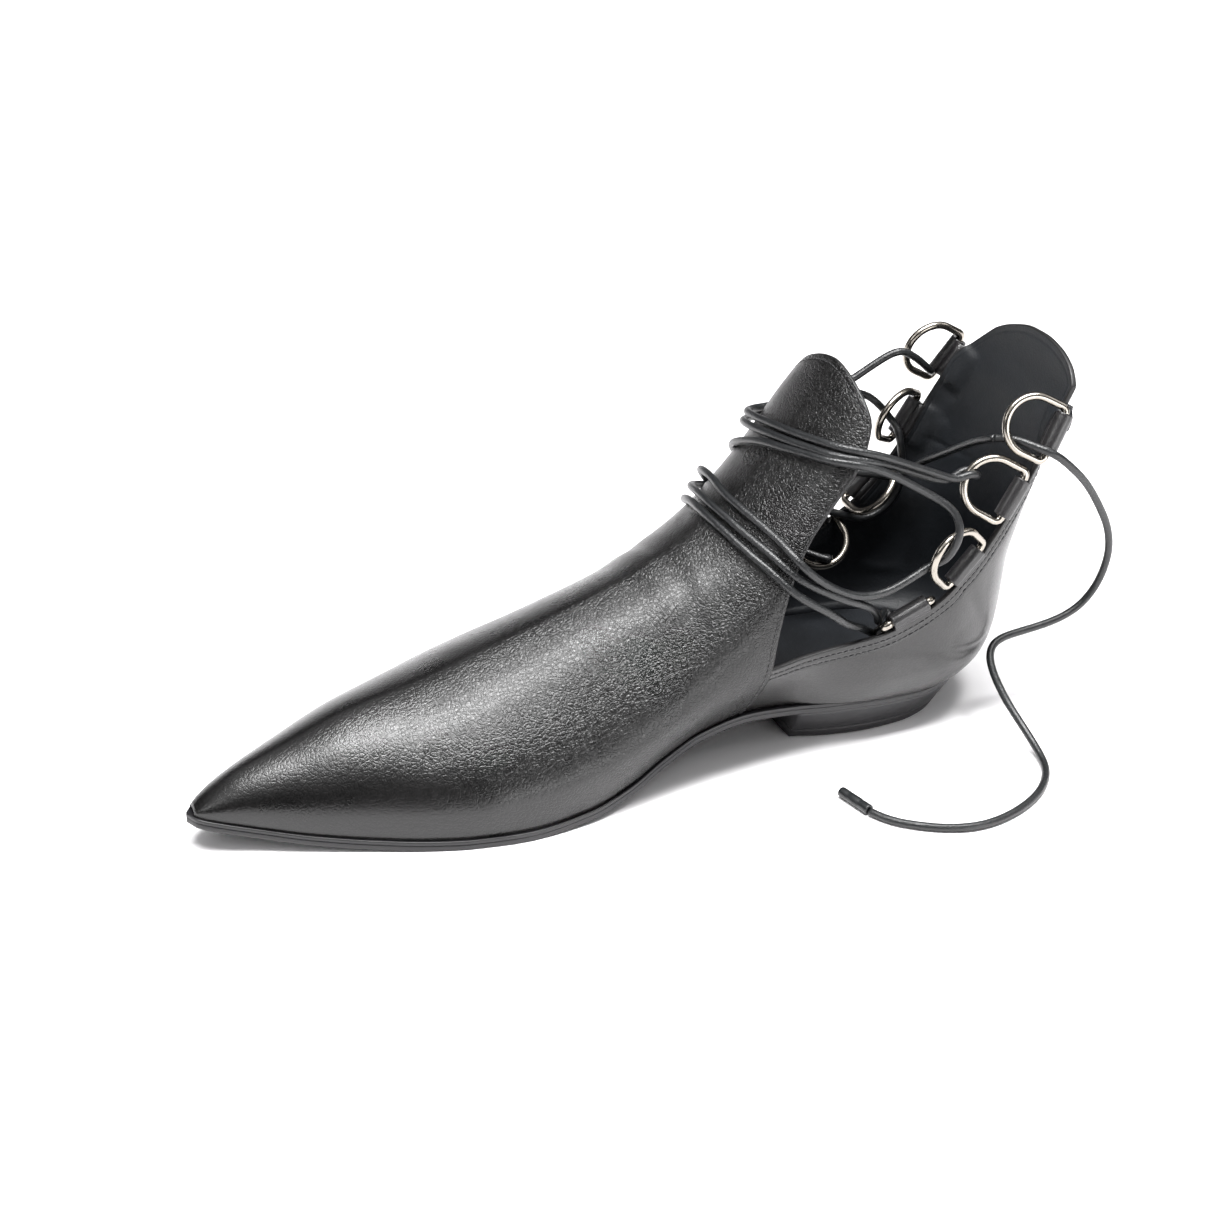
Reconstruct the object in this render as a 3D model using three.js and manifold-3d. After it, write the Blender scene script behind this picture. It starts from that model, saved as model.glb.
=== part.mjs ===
// A right-foot, pointed-toe, flat ankle shoe with cut-out sides, laced through rings on its back shaft.
// Millimetres. +X runs from heel to toe, +Y to the medial side, +Z up. The floor is z = 0, and the
// origin lies on the floor under the middle of the heel's flat underside.
import * as THREE from 'three';
import { mergeVertices } from 'three/addons/utils/BufferGeometryUtils.js';
import Module from 'manifold-3d';

const wasm = await Module();
wasm.setup();

// Driving dimensions
const SOLE_LENGTH = 250;        // from the back of the heel's underside to the toe tip
const BALL_WIDTH = 84;          // across the outsole at the ball
const HEEL_HEIGHT = 11.6;       // underside of the outsole above the floor, over the heel
const TOE_SPRING = 8;           // underside of the outsole above the floor, at the toe tip
const SOLE_THICKNESS = 3.2;
const INSTEP_HEIGHT = 64;       // ridge above the floor where the front flap begins to rise
const FLAP_HEIGHT = 118;        // top edge of the front flap above the floor
const SHAFT_HEIGHT = 119;       // top edge of the back shaft above the floor
const ANKLE_WIDTH = 65;         // across the back shaft at its rings
const WALL = 1.8;               // upper leather with its lining
const LAP = 0.8;                // step of the vamp over the quarter at the side seams
const FEATHER_MARGIN = 0.9;     // how far the outsole edge stands out past the upper
const GAP = 0.3;                // clearance between pieces that meet
const HEEL_LENGTH = 60;         // underside of the heel block, front to back
const HEEL_INSET = 2.8;         // how far the heel's underside draws in under the outsole's edge
const INSOLE_THICKNESS = 1.6;
const RING_WIRE = 2.5;          // gauge of the bent wire
const RING_WIDTH = 15.5;        // inside the ring, along its bar
const RING_REACH = 16.4;        // from the bar's middle line to the bow's
const RING_CORNER = 2;          // bend between the bar and the sides, on the middle line
const TAB_LENGTH = 13.1;        // along the bar
const TAB_BORE = 3.1;           // hollow of the rolled leather that holds the bar
const TAB_WALL = 1.25;
const TAB_TAIL = 7;             // how far its tail runs back on the lining
const TAB_LEATHER = 1.1;        // thickness of the tail
const LACE = 2.5;               // diameter of the round lace
const AGLET = 3.3;
const AGLET_LENGTH = 12.5;
const AGLET_CHAMFER = 0.35;
const AGLET_HOLLOW = 1.2;       // depth of the open end of its tube

// Everything is worked out from the back of the heel's underside and then moved to the origin.
const ORIGIN_AT = HEEL_LENGTH / 2;

// Distances used only to measure slopes and to run cutting bodies past what they cut
const STEP = 0.5;
const STEEPEST = 1.6;           // slope past which a wall is no longer widened for its lean
const WELL_UNDER = -30;
const WELL_OVER = 1.3;          // share of FLAP_HEIGHT or SHAFT_HEIGHT
const WELL_BEHIND = -0.16;      // shares of SOLE_LENGTH
const WELL_AHEAD = 1.08;
const WELL_ASIDE = 1.1 * BALL_WIDTH;
const PAST = 4;

// Pieces of arithmetic
const mix = (a, b, t) => a + (b - a) * t;
const clamp = (v, low, high) => Math.min(high, Math.max(low, v));
const smooth = (v, low, high) => {
  const t = clamp((v - low) / (high - low), 0, 1);
  return t * t * (3 - 2 * t);
};

// A smooth monotone reading of one column of a table, at a value of its first column.
function column(table, key, name) {
  const rows = [...table].sort((a, b) => a[key] - b[key]);
  const k = rows.map((r) => r[key]);
  const v = rows.map((r) => r[name]);
  const slope = k.slice(1).map((x, i) => (v[i + 1] - v[i]) / (x - k[i]));
  const tangent = k.map((x, i) => {
    if (i === 0) return slope[0];
    if (i === k.length - 1) return slope[i - 1];
    if (slope[i - 1] * slope[i] <= 0) return 0;
    return (2 * slope[i - 1] * slope[i]) / (slope[i - 1] + slope[i]);
  });
  return (at) => {
    if (at <= k[0]) return v[0];
    if (at >= k[k.length - 1]) return v[v.length - 1];
    let i = 0;
    while (at > k[i + 1]) i += 1;
    const h = k[i + 1] - k[i];
    const t = (at - k[i]) / h;
    const t2 = t * t;
    const t3 = t2 * t;
    return (2 * t3 - 3 * t2 + 1) * v[i] + (t3 - 2 * t2 + t) * h * tangent[i]
      + (3 * t2 - 2 * t3) * v[i + 1] + (t3 - t2) * h * tangent[i + 1];
  };
}

// The outsole's outline and underside. at: share of SOLE_LENGTH; medial and lateral: shares of
// BALL_WIDTH; heel and toe: height of the underside as shares of HEEL_HEIGHT and of TOE_SPRING.
const OUTLINE = [
  { at: -0.023, medial: 0.000, lateral: 0.000, heel: 0.76, toe: 0 },
  { at: -0.017, medial: 0.100, lateral: 0.105, heel: 0.77, toe: 0 },
  { at: 0.000, medial: 0.215, lateral: 0.220, heel: 0.79, toe: 0 },
  { at: 0.035, medial: 0.297, lateral: 0.300, heel: 0.83, toe: 0 },
  { at: 0.080, medial: 0.334, lateral: 0.336, heel: 0.89, toe: 0 },
  { at: 0.130, medial: 0.343, lateral: 0.346, heel: 0.95, toe: 0 },
  { at: 0.190, medial: 0.330, lateral: 0.352, heel: 1.00, toe: 0 },
  { at: 0.245, medial: 0.300, lateral: 0.366, heel: 1.02, toe: 0 },
  { at: 0.310, medial: 0.275, lateral: 0.390, heel: 0.98, toe: 0 },
  { at: 0.370, medial: 0.292, lateral: 0.422, heel: 0.82, toe: 0 },
  { at: 0.430, medial: 0.350, lateral: 0.458, heel: 0.56, toe: 0 },
  { at: 0.490, medial: 0.428, lateral: 0.489, heel: 0.28, toe: 0 },
  { at: 0.550, medial: 0.480, lateral: 0.502, heel: 0.09, toe: 0 },
  { at: 0.620, medial: 0.498, lateral: 0.490, heel: 0, toe: 0 },
  { at: 0.690, medial: 0.470, lateral: 0.440, heel: 0, toe: 0 },
  { at: 0.745, medial: 0.421, lateral: 0.378, heel: 0, toe: 0.02 },
  { at: 0.805, medial: 0.350, lateral: 0.296, heel: 0, toe: 0.10 },
  { at: 0.870, medial: 0.271, lateral: 0.196, heel: 0, toe: 0.29 },
  { at: 0.930, medial: 0.194, lateral: 0.092, heel: 0, toe: 0.59 },
  { at: 0.970, medial: 0.146, lateral: 0.025, heel: 0, toe: 0.84 },
  { at: 0.990, medial: 0.113, lateral: -0.012, heel: 0, toe: 0.96 },
  { at: 1.000, medial: 0.062, lateral: -0.058, heel: 0, toe: 1 },
];
const outlineMedial = column(OUTLINE, 'at', 'medial');
const outlineLateral = column(OUTLINE, 'at', 'lateral');
const heelLift = column(OUTLINE, 'at', 'heel');
const toeLift = column(OUTLINE, 'at', 'toe');
const solePlan = (x, side) => BALL_WIDTH * (side > 0 ? outlineMedial : outlineLateral)(x / SOLE_LENGTH);
const soleUnder = (x) => HEEL_HEIGHT * heelLift(x / SOLE_LENGTH) + TOE_SPRING * toeLift(x / SOLE_LENGTH);
const soleTop = (x) => soleUnder(x) + SOLE_THICKNESS;

// The vamp and its flap, as upright sections. at: share of SOLE_LENGTH; low and high: the ridge as
// shares of INSTEP_HEIGHT and of the rise from there to FLAP_HEIGHT; belly: height of the widest line
// as a share of the section; medial and lateral: half-widths there, shares of BALL_WIDTH; ridge_y: the
// ridge's place, a share of BALL_WIDTH; full: how far the side stays out before it turns to the ridge.
const VAMP = [
  { at: 0.135, low: 1, high: 1.18, belly: 0.36, medial: 0.345, lateral: 0.352, ridge_y: 0, full: 6.4 },
  { at: 0.178, low: 1, high: 0.948, belly: 0.36, medial: 0.362, lateral: 0.368, ridge_y: 0, full: 5.8 },
  { at: 0.230, low: 1, high: 0.625, belly: 0.38, medial: 0.382, lateral: 0.392, ridge_y: 0, full: 4.0 },
  { at: 0.265, low: 1, high: 0.43, belly: 0.40, medial: 0.395, lateral: 0.410, ridge_y: 0, full: 3.2 },
  { at: 0.300, low: 1, high: 0.262, belly: 0.40, medial: 0.402, lateral: 0.424, ridge_y: 0, full: 2.6 },
  { at: 0.332, low: 1, high: 0.14, belly: 0.40, medial: 0.408, lateral: 0.438, ridge_y: 0, full: 2.2 },
  { at: 0.364, low: 1, high: 0.056, belly: 0.39, medial: 0.414, lateral: 0.452, ridge_y: 0.005, full: 1.9 },
  { at: 0.394, low: 0.988, high: 0, belly: 0.37, medial: 0.424, lateral: 0.465, ridge_y: 0.01, full: 1.68 },
  { at: 0.436, low: 0.916, high: 0, belly: 0.34, medial: 0.440, lateral: 0.482, ridge_y: 0.015, full: 1.52 },
  { at: 0.516, low: 0.82, high: 0, belly: 0.29, medial: 0.478, lateral: 0.510, ridge_y: 0.025, full: 1.44 },
  { at: 0.584, low: 0.745, high: 0, belly: 0.27, medial: 0.498, lateral: 0.508, ridge_y: 0.032, full: 1.44 },
  { at: 0.656, low: 0.67, high: 0, belly: 0.27, medial: 0.489, lateral: 0.472, ridge_y: 0.04, full: 1.48 },
  { at: 0.712, low: 0.61, high: 0, belly: 0.27, medial: 0.450, lateral: 0.416, ridge_y: 0.045, full: 1.54 },
  { at: 0.804, low: 0.532, high: 0, belly: 0.27, medial: 0.348, lateral: 0.296, ridge_y: 0.05, full: 1.66 },
  { at: 0.876, low: 0.43, high: 0, belly: 0.28, medial: 0.259, lateral: 0.185, ridge_y: 0.055, full: 1.8 },
  { at: 0.939, low: 0.337, high: 0, belly: 0.30, medial: 0.178, lateral: 0.074, ridge_y: 0.058, full: 2.0 },
  { at: 0.966, low: 0.277, high: 0, belly: 0.33, medial: 0.144, lateral: 0.030, ridge_y: 0.06, full: 2.2 },
  { at: 0.984, low: 0.23, high: 0, belly: 0.36, medial: 0.114, lateral: -0.008, ridge_y: 0.06, full: 2.4 },
  { at: 0.993, low: 0.199, high: 0, belly: 0.40, medial: 0.090, lateral: -0.032, ridge_y: 0.06, full: 2.6 },
];
const RIDGE_ROUND = 0.66;       // 0.5 is a round ridge, 1 a sharp one
const vampColumn = Object.fromEntries(
  ['low', 'high', 'belly', 'medial', 'lateral', 'ridge_y', 'full'].map((n) => [n, column(VAMP, 'at', n)]),
);
const readVamp = (x, name) => vampColumn[name](x / SOLE_LENGTH);
const FLAP_RISE = FLAP_HEIGHT - INSTEP_HEIGHT;
const ridge = (x) => INSTEP_HEIGHT * readVamp(x, 'low') + FLAP_RISE * readVamp(x, 'high');

// How much longer a level cut through a wall is than the wall is thick, where its line f leans
const slopeAt = (f, x) => (f(x + STEP) - f(x - STEP)) / (2 * STEP);
const leanOf = (f, x) => Math.hypot(1, clamp(slopeAt(f, x), -STEEPEST, STEEPEST));

// Half-width of the vamp's surface at station x and height z. inset moves it inwards, so that the same
// function gives both faces of the wall.
function vampHalf(x, z, side, inset = 0) {
  const slopeOf = (f) => leanOf(f, x);
  const widest = (u) => BALL_WIDTH * readVamp(u, side > 0 ? 'medial' : 'lateral');
  const plan = (u) => solePlan(u, side) - FEATHER_MARGIN;
  const top = ridge(x) - inset * slopeOf(ridge);
  const bottom = soleTop(x);
  const crest = side * BALL_WIDTH * readVamp(x, 'ridge_y');
  const feather = Math.min(plan(x), widest(x)) - inset * slopeOf(plan);
  const wide = widest(x) - inset * slopeOf(widest);
  const bellyShare = readVamp(x, 'belly');
  const h = clamp((z - bottom) / (top - bottom), 0, 1);
  if (h < bellyShare) return mix(feather, wide, Math.sin((Math.PI / 2) * (h / bellyShare)));
  const k = (h - bellyShare) / (1 - bellyShare);
  return crest + (wide - crest) * Math.max(0, 1 - k ** readVamp(x, 'full')) ** RIDGE_ROUND;
}

// The quarter and back shaft, as level sections. at: height as a share of SHAFT_HEIGHT; back: the
// rearmost line as a share of SOLE_LENGTH; half: half-width as a share of ANKLE_WIDTH; widest: where
// the section reaches it, a share of SOLE_LENGTH.
const QUARTER = [
  { at: 0.095, back: -0.020, half: 0.430, widest: 0.110 },
  { at: 0.108, back: -0.034, half: 0.450, widest: 0.110 },
  { at: 0.130, back: -0.050, half: 0.480, widest: 0.110 },
  { at: 0.160, back: -0.063, half: 0.502, widest: 0.110 },
  { at: 0.202, back: -0.072, half: 0.518, widest: 0.110 },
  { at: 0.270, back: -0.078, half: 0.526, widest: 0.106 },
  { at: 0.353, back: -0.081, half: 0.522, widest: 0.095 },
  { at: 0.437, back: -0.082, half: 0.512, widest: 0.070 },
  { at: 0.538, back: -0.085, half: 0.506, widest: 0.025 },
  { at: 0.672, back: -0.094, half: 0.503, widest: -0.018 },
  { at: 0.798, back: -0.102, half: 0.502, widest: -0.056 },
  { at: 0.866, back: -0.110, half: 0.502, widest: -0.080 },
  { at: 0.924, back: -0.117, half: 0.500, widest: -0.096 },
  { at: 1.040, back: -0.127, half: 0.480, widest: -0.106 },
];
const quarterColumn = Object.fromEntries(
  ['back', 'half', 'widest'].map((n) => [n, column(QUARTER, 'at', n)]),
);
const readQuarter = (z, name) => quarterColumn[name](z / SHAFT_HEIGHT);
const QUARTER_FULL = 2.6;       // squareness of the level sections round the heel
const BLEND_BACK = 32;          // where the quarter starts to take the vamp's line
const BLEND_FRONT = 66;         // where it has taken it
const backLine = (z, inset = 0) => SOLE_LENGTH * readQuarter(z, 'back') + inset;

function quarterHalf(x, z, side, inset = 0) {
  const back = backLine(z, inset);
  const widest = SOLE_LENGTH * readQuarter(z, 'widest');
  const half = ANKLE_WIDTH * readQuarter(z, 'half') - inset;
  const k = clamp((widest - x) / (widest - back), 0, 1);
  const round = half * (Math.max(0, 1 - k ** QUARTER_FULL)) ** (1 / 2.1);
  const along = smooth(x, BLEND_BACK, BLEND_FRONT);
  return along > 0 ? mix(round, vampHalf(x, z, side, inset + LAP), along) : round;
}

// Side-view lines of the cut-out, in shares of SOLE_LENGTH (x) and of SHAFT_HEIGHT (z)
const spot = ([x, z]) => new THREE.Vector2(x * SOLE_LENGTH, z * SHAFT_HEIGHT);
const FLAP_EDGE = [
  [0.322, 0.050], [0.315, 0.135], [0.308, 0.183], [0.304, 0.232], [0.3010, 0.262], [0.299, 0.300],
  [0.296, 0.360], [0.288, 0.440], [0.275, 0.520], [0.256, 0.600], [0.231, 0.675], [0.204, 0.745],
  [0.183, 0.812], [0.170, 0.868], [0.164, 0.915], [0.165, 0.970],
];
const TOPLINE = [
  [0.350, 0.288], [0.300, 0.289], [0.250, 0.298], [0.200, 0.312], [0.150, 0.331], [0.108, 0.357],
  [0.072, 0.392], [0.042, 0.437], [0.016, 0.492], [-0.006, 0.556], [-0.026, 0.620], [-0.044, 0.682],
  [-0.064, 0.752], [-0.082, 0.814], [-0.097, 0.864], [-0.107, 0.915], [-0.110, 0.960],
];
// Top edge of the back shaft seen from behind: y as a share of ANKLE_WIDTH, z of SHAFT_HEIGHT
const TOP_EDGE = [
  [0.60, 0.770], [0.500, 0.864], [0.475, 0.900], [0.425, 0.938], [0.345, 0.967], [0.235, 0.985],
  [0.100, 0.993], [-0.030, 0.989], [-0.150, 0.971], [-0.260, 0.943], [-0.350, 0.897], [-0.430, 0.845],
  [-0.60, 0.700],
];

// Closed mesh from rings of points, each ring the same count, with a fan at both ends
function loft(rings) {
  const count = rings[0].length;
  const position = rings.flat().flatMap((p) => [p.x, p.y, p.z]);
  const index = [];
  for (let r = 0; r + 1 < rings.length; r += 1) {
    for (let i = 0; i < count; i += 1) {
      const a = r * count + i;
      const b = r * count + ((i + 1) % count);
      index.push(a, b, b + count, a, b + count, a + count);
    }
  }
  for (const [start, order] of [[0, 1], [(rings.length - 1) * count, -1]]) {
    const middle = position.length / 3;
    const ring = rings[start / count];
    const centre = ring.reduce((s, p) => s.add(p), new THREE.Vector3()).divideScalar(count);
    position.push(centre.x, centre.y, centre.z);
    for (let i = 0; i < count; i += 1) {
      const a = start + i;
      const b = start + ((i + 1) % count);
      if (order > 0) index.push(middle, b, a);
      else index.push(middle, a, b);
    }
  }
  const geometry = new THREE.BufferGeometry();
  geometry.setAttribute('position', new THREE.Float32BufferAttribute(position, 3));
  geometry.setIndex(index);
  return geometry;
}

// Between three.js geometry and a solid that can be joined and cut
function solid(geometry) {
  const bare = geometry.clone();
  bare.deleteAttribute('normal');
  bare.deleteAttribute('uv');
  const merged = mergeVertices(bare, 1e-4);
  const made = new wasm.Manifold(new wasm.Mesh({
    numProp: 3,
    vertProperties: Float32Array.from(merged.attributes.position.array),
    triVerts: Uint32Array.from(merged.index.array),
  }));
  if (made.volume() < 0) throw new Error('a solid is inside out');
  return made;
}

function geometryOf(manifold) {
  const mesh = manifold.getMesh();
  const geometry = new THREE.BufferGeometry();
  const places = Float32Array.from(mesh.vertProperties);
  geometry.setAttribute('position', new THREE.Float32BufferAttribute(places, 3));
  geometry.setIndex(Array.from(mesh.triVerts));
  return geometry;
}

// A prism whose outline is drawn in the x-z plane and which runs across the shoe
function sidePrism(points) {
  const shape = new THREE.Shape(points);
  const run = { depth: 2 * WELL_ASIDE, bevelEnabled: false, steps: 1 };
  const geometry = new THREE.ExtrudeGeometry(shape, run);
  geometry.rotateX(Math.PI / 2);
  geometry.translate(0, WELL_ASIDE, 0);
  return solid(geometry);
}

const SECTION_STEPS = 7;        // points up each side of an upright section, above its belly
const BELLY_STEPS = 3;
const SKIRT = 9;                // depth that the raw shells run below the feather line
const VAMP_FROM = 0.14;         // ends of the raw vamp, shares of SOLE_LENGTH
const VAMP_TIP = 0.9925;
const TIP_LEAN = 1.25;          // the wall is this much thicker along the shoe at the pointed tip
const VAMP_STEPS = 25;          // upright sections of the vamp
const CROWD = 1.35;             // how much closer they lie towards the toe

// The vamp as a closed body, grown inwards by inset
function vampBody(inset, skirt) {
  const tip = VAMP_TIP * SOLE_LENGTH - inset * TIP_LEAN;
  const first = VAMP_FROM * SOLE_LENGTH - inset * 2;
  const stations = [];
  for (let i = 0; i <= VAMP_STEPS; i += 1) {
    stations.push(mix(first, tip, 1 - (1 - i / VAMP_STEPS) ** CROWD));
  }
  const rings = stations.map((x) => {
    const top = ridge(x) - inset * leanOf(ridge, x);
    const bottom = soleTop(x);
    const bellyAt = readVamp(x, 'belly');
    const heights = [];
    for (let i = 0; i <= BELLY_STEPS; i += 1) heights.push((bellyAt * i) / BELLY_STEPS);
    for (let i = 1; i < SECTION_STEPS; i += 1) {
      const t = i / SECTION_STEPS;
      heights.push(bellyAt + (1 - bellyAt) * (1 - (1 - t) ** 2));
    }
    const crest = BALL_WIDTH * readVamp(x, 'ridge_y');
    const side = (s) => heights.map((h) => {
      const z = bottom + h * (top - bottom);
      return new THREE.Vector3(x, s * vampHalf(x, z, s, inset), z);
    });
    const medial = side(1);
    const lateral = side(-1);
    const under = (p) => new THREE.Vector3(p.x, p.y, bottom - skirt);
    return [
      under(medial[0]), ...medial, new THREE.Vector3(x, crest, top), ...lateral.reverse(),
      under(lateral[lateral.length - 1]),
    ];
  });
  return solid(loft(rings));
}

// Levels at which the quarter is worked out, shares of SHAFT_HEIGHT, closer round the heel's curve
const QUARTER_LEVELS = [
  0.095, 0.108, 0.124, 0.145, 0.17, 0.205, 0.25, 0.31, 0.38, 0.46, 0.55, 0.64, 0.73, 0.82, 0.90, 0.97,
];
const QUARTER_TOP = 1.03;       // ends of the raw quarter, shares of SHAFT_HEIGHT and SOLE_LENGTH
const QUARTER_FRONT = 0.36;
const BACK_STEPS = 8;           // points from the rearmost line to the widest place
const SIDE_STEPS = 6;           // points from there forwards

// The quarters and back shaft as a closed body
function quarterBody(inset, skirt) {
  const lowest = QUARTER_LEVELS[0] * SHAFT_HEIGHT;
  const heights = [soleUnder(0) - skirt, ...QUARTER_LEVELS.map((level) => level * SHAFT_HEIGHT)];
  heights.push(QUARTER_TOP * SHAFT_HEIGHT + inset);
  const front = QUARTER_FRONT * SOLE_LENGTH + inset;
  const rings = heights.map((z) => {
    const level = Math.max(z, lowest);
    const back = backLine(level, inset);
    const widest = SOLE_LENGTH * readQuarter(level, 'widest');
    const xs = [];
    for (let i = 1; i <= BACK_STEPS; i += 1) {
      xs.push(mix(back, widest, 1 - Math.cos((Math.PI / 2) * (i / BACK_STEPS))));
    }
    for (let i = 1; i <= SIDE_STEPS; i += 1) xs.push(mix(widest, front, i / SIDE_STEPS));
    const side = (s) => xs.map((x) => {
      const height = Math.max(level, x > BLEND_BACK ? soleTop(x) : level);
      return new THREE.Vector3(x, s * quarterHalf(x, height, s, inset), z);
    });
    const medial = side(1).reverse();
    return [...medial, new THREE.Vector3(back, 0, z), ...side(-1)];
  });
  return solid(loft(rings));
}

const SOLE_FROM = -0.0225;      // ends of the outsole, shares of SOLE_LENGTH
const SOLE_TO = 0.9995;

// Everything under the top face of the outsole
function underSole(clearance) {
  const count = 75;
  const from = WELL_BEHIND * SOLE_LENGTH;
  const to = WELL_AHEAD * SOLE_LENGTH;
  const top = [];
  for (let i = 0; i <= count; i += 1) {
    const x = mix(from, to, i / count);
    top.push(new THREE.Vector2(x, soleTop(clamp(x, SOLE_FROM * SOLE_LENGTH, SOLE_LENGTH)) + clearance));
  }
  return sidePrism([...top, new THREE.Vector2(to, WELL_UNDER), new THREE.Vector2(from, WELL_UNDER)]);
}

function makeUpper() {
  const flap = FLAP_EDGE.map(spot);
  const flapTop = flap[flap.length - 1];
  const ahead = WELL_AHEAD * SOLE_LENGTH;
  const overFlap = WELL_OVER * FLAP_HEIGHT;
  const frontRegion = sidePrism([
    ...flap, new THREE.Vector2(flapTop.x, overFlap), new THREE.Vector2(ahead, overFlap),
    new THREE.Vector2(ahead, WELL_UNDER), new THREE.Vector2(flap[0].x, WELL_UNDER),
  ]);
  const topline = TOPLINE.map(spot);
  const last = topline[topline.length - 1];
  const behind = WELL_BEHIND * SOLE_LENGTH;
  const overShaft = WELL_OVER * SHAFT_HEIGHT;
  const rearRegion = sidePrism([
    ...topline, new THREE.Vector2(last.x, overShaft), new THREE.Vector2(behind, overShaft),
    new THREE.Vector2(behind, WELL_UNDER), new THREE.Vector2(topline[0].x, WELL_UNDER),
  ]);
  const edge = TOP_EDGE.map(([y, z]) => new THREE.Vector2(y * ANKLE_WIDTH, z * SHAFT_HEIGHT));
  const aboveShape = new THREE.Shape([
    ...edge, new THREE.Vector2(edge[edge.length - 1].x, overShaft), new THREE.Vector2(edge[0].x, overShaft),
  ]);
  const above = new THREE.ExtrudeGeometry(aboveShape, { depth: -behind, bevelEnabled: false, steps: 1 });
  // the drawing's x becomes y, its y becomes z, and it runs along x
  above.applyMatrix4(new THREE.Matrix4().makeBasis(
    new THREE.Vector3(0, 1, 0), new THREE.Vector3(0, 0, 1), new THREE.Vector3(1, 0, 0),
  ));
  above.translate(behind, 0, 0);
  const vamp = vampBody(0, SKIRT).subtract(vampBody(WALL, SKIRT + PAST)).intersect(frontRegion);
  const quarter = quarterBody(0, SKIRT).subtract(quarterBody(WALL, SKIRT + PAST)).intersect(rearRegion)
    .subtract(solid(above));
  return vamp.add(quarter).subtract(underSole(GAP));
}

const BLUNT = 0.4;              // least half-width at a plate's ends
const POINTED = 0.9;            // from here on both edges may lie on the medial side of the middle line
const HEEL_SEAT = 0.4;          // step from the outsole's edge to the heel block's

// A plate between two heights, drawn in from the outsole's outline by inset
function solePlate(low, high, inset, from = SOLE_FROM, to = SOLE_TO) {
  const xs = [];
  const count = 40;
  for (let i = 0; i <= count; i += 1) {
    xs.push(SOLE_LENGTH * mix(from, to, 0.5 - 0.5 * Math.cos((Math.PI * i) / count)));
  }
  const rings = xs.map((x) => {
    const m = Math.max(BLUNT, solePlan(x, 1) - inset);
    const l = Math.max(x > POINTED * SOLE_LENGTH ? BLUNT - m : BLUNT, solePlan(x, -1) - inset);
    return [
      new THREE.Vector3(x, m, low(x)), new THREE.Vector3(x, m, high(x)),
      new THREE.Vector3(x, -l, high(x)), new THREE.Vector3(x, -l, low(x)),
    ];
  });
  return loft(rings);
}

const makeOutsole = () => solid(solePlate(soleUnder, soleTop, 0));

// The heel block follows the outsole's outline and draws in towards the floor, most at its breast
function makeHeel() {
  const steps = 26;
  const seatBack = SOLE_LENGTH * SOLE_FROM;
  const rings = [0, 1].map((level) => {
    const side = (s) => {
      const points = [];
      for (let i = 0; i <= steps; i += 1) {
        const t = 1 - Math.cos((Math.PI / 2) * (i / steps));
        const draw = HEEL_SEAT + HEEL_INSET * (1 - level) * (1 + t ** 3);
        const half = Math.max(BLUNT, solePlan(mix(seatBack, HEEL_LENGTH, t), s) - draw);
        const x = mix(seatBack * level, HEEL_LENGTH, t);
        points.push(new THREE.Vector3(x, s * half, level * (soleUnder(x) - GAP)));
      }
      return points;
    };
    return [...side(1).reverse(), ...side(-1)];
  });
  return solid(loft(rings));
}

const INSOLE_PLAY = 1.1;        // between the insole's edge and the upper's wall
const INSOLE_FROM = 0.004;      // ends of the insole, shares of SOLE_LENGTH
const INSOLE_TO = 0.968;

// The insole lies on the outsole, inside the upper's wall
function makeInsole() {
  const low = (x) => soleTop(x) + GAP;
  const high = (x) => soleTop(x) + GAP + INSOLE_THICKNESS;
  return solid(solePlate(low, high, FEATHER_MARGIN + WALL + INSOLE_PLAY, INSOLE_FROM, INSOLE_TO));
}

// The rings on the edge of the back shaft. at: place of the bar along the edge, a share of SOLE_LENGTH;
// slip: how far the ring has slid along its tab; forward, inward, up: the way its bow hangs.
const RINGS = [
  { name: 'medial_1', side: 1, at: 0.1080, slip: 0, forward: 0.15, inward: 0.72, up: -0.68 },
  { name: 'medial_2', side: 1, at: 0.0270, slip: 0, forward: 0.73, inward: -0.28, up: 0.62 },
  { name: 'medial_3', side: 1, at: -0.0340, slip: 0, forward: 0.84, inward: 0.34, up: 0.38 },
  { name: 'medial_4', side: 1, at: -0.0814, slip: 0.8, forward: 0.91, inward: 0.29, up: 0.26 },
  { name: 'lateral_1', side: -1, at: 0.1080, slip: 0, forward: 0.15, inward: 0.72, up: -0.68 },
  { name: 'lateral_2', side: -1, at: 0.0270, slip: 0, forward: 0.19, inward: 0.97, up: -0.12 },
  { name: 'lateral_3', side: -1, at: -0.0334, slip: 0.4, forward: 0.66, inward: 0.48, up: 0.57 },
  { name: 'lateral_4', side: -1, at: -0.0820, slip: 0.6, forward: 0.80, inward: 0.08, up: 0.54 },
];
const TAB_OUTER = TAB_BORE / 2 + TAB_WALL;
const TAB_STANDOFF = TAB_OUTER + 2 * GAP;   // from the shaft's edge to the bar
const TAB_DEPTH = 0.5;                      // of the bar's middle line under the outer face of the wall

// Where the cut edge of the quarter lies, at a place along it
function edgePoint(x, side, inset) {
  const points = TOPLINE.map(spot);
  const next = Math.max(1, points.findIndex((p) => p.x <= x));
  const from = points[next - 1];
  const to = points[next];
  const z = mix(from.y, to.y, (x - from.x) / (to.x - from.x));
  return new THREE.Vector3(x, side * quarterHalf(x, z, side, inset), z);
}

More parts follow.
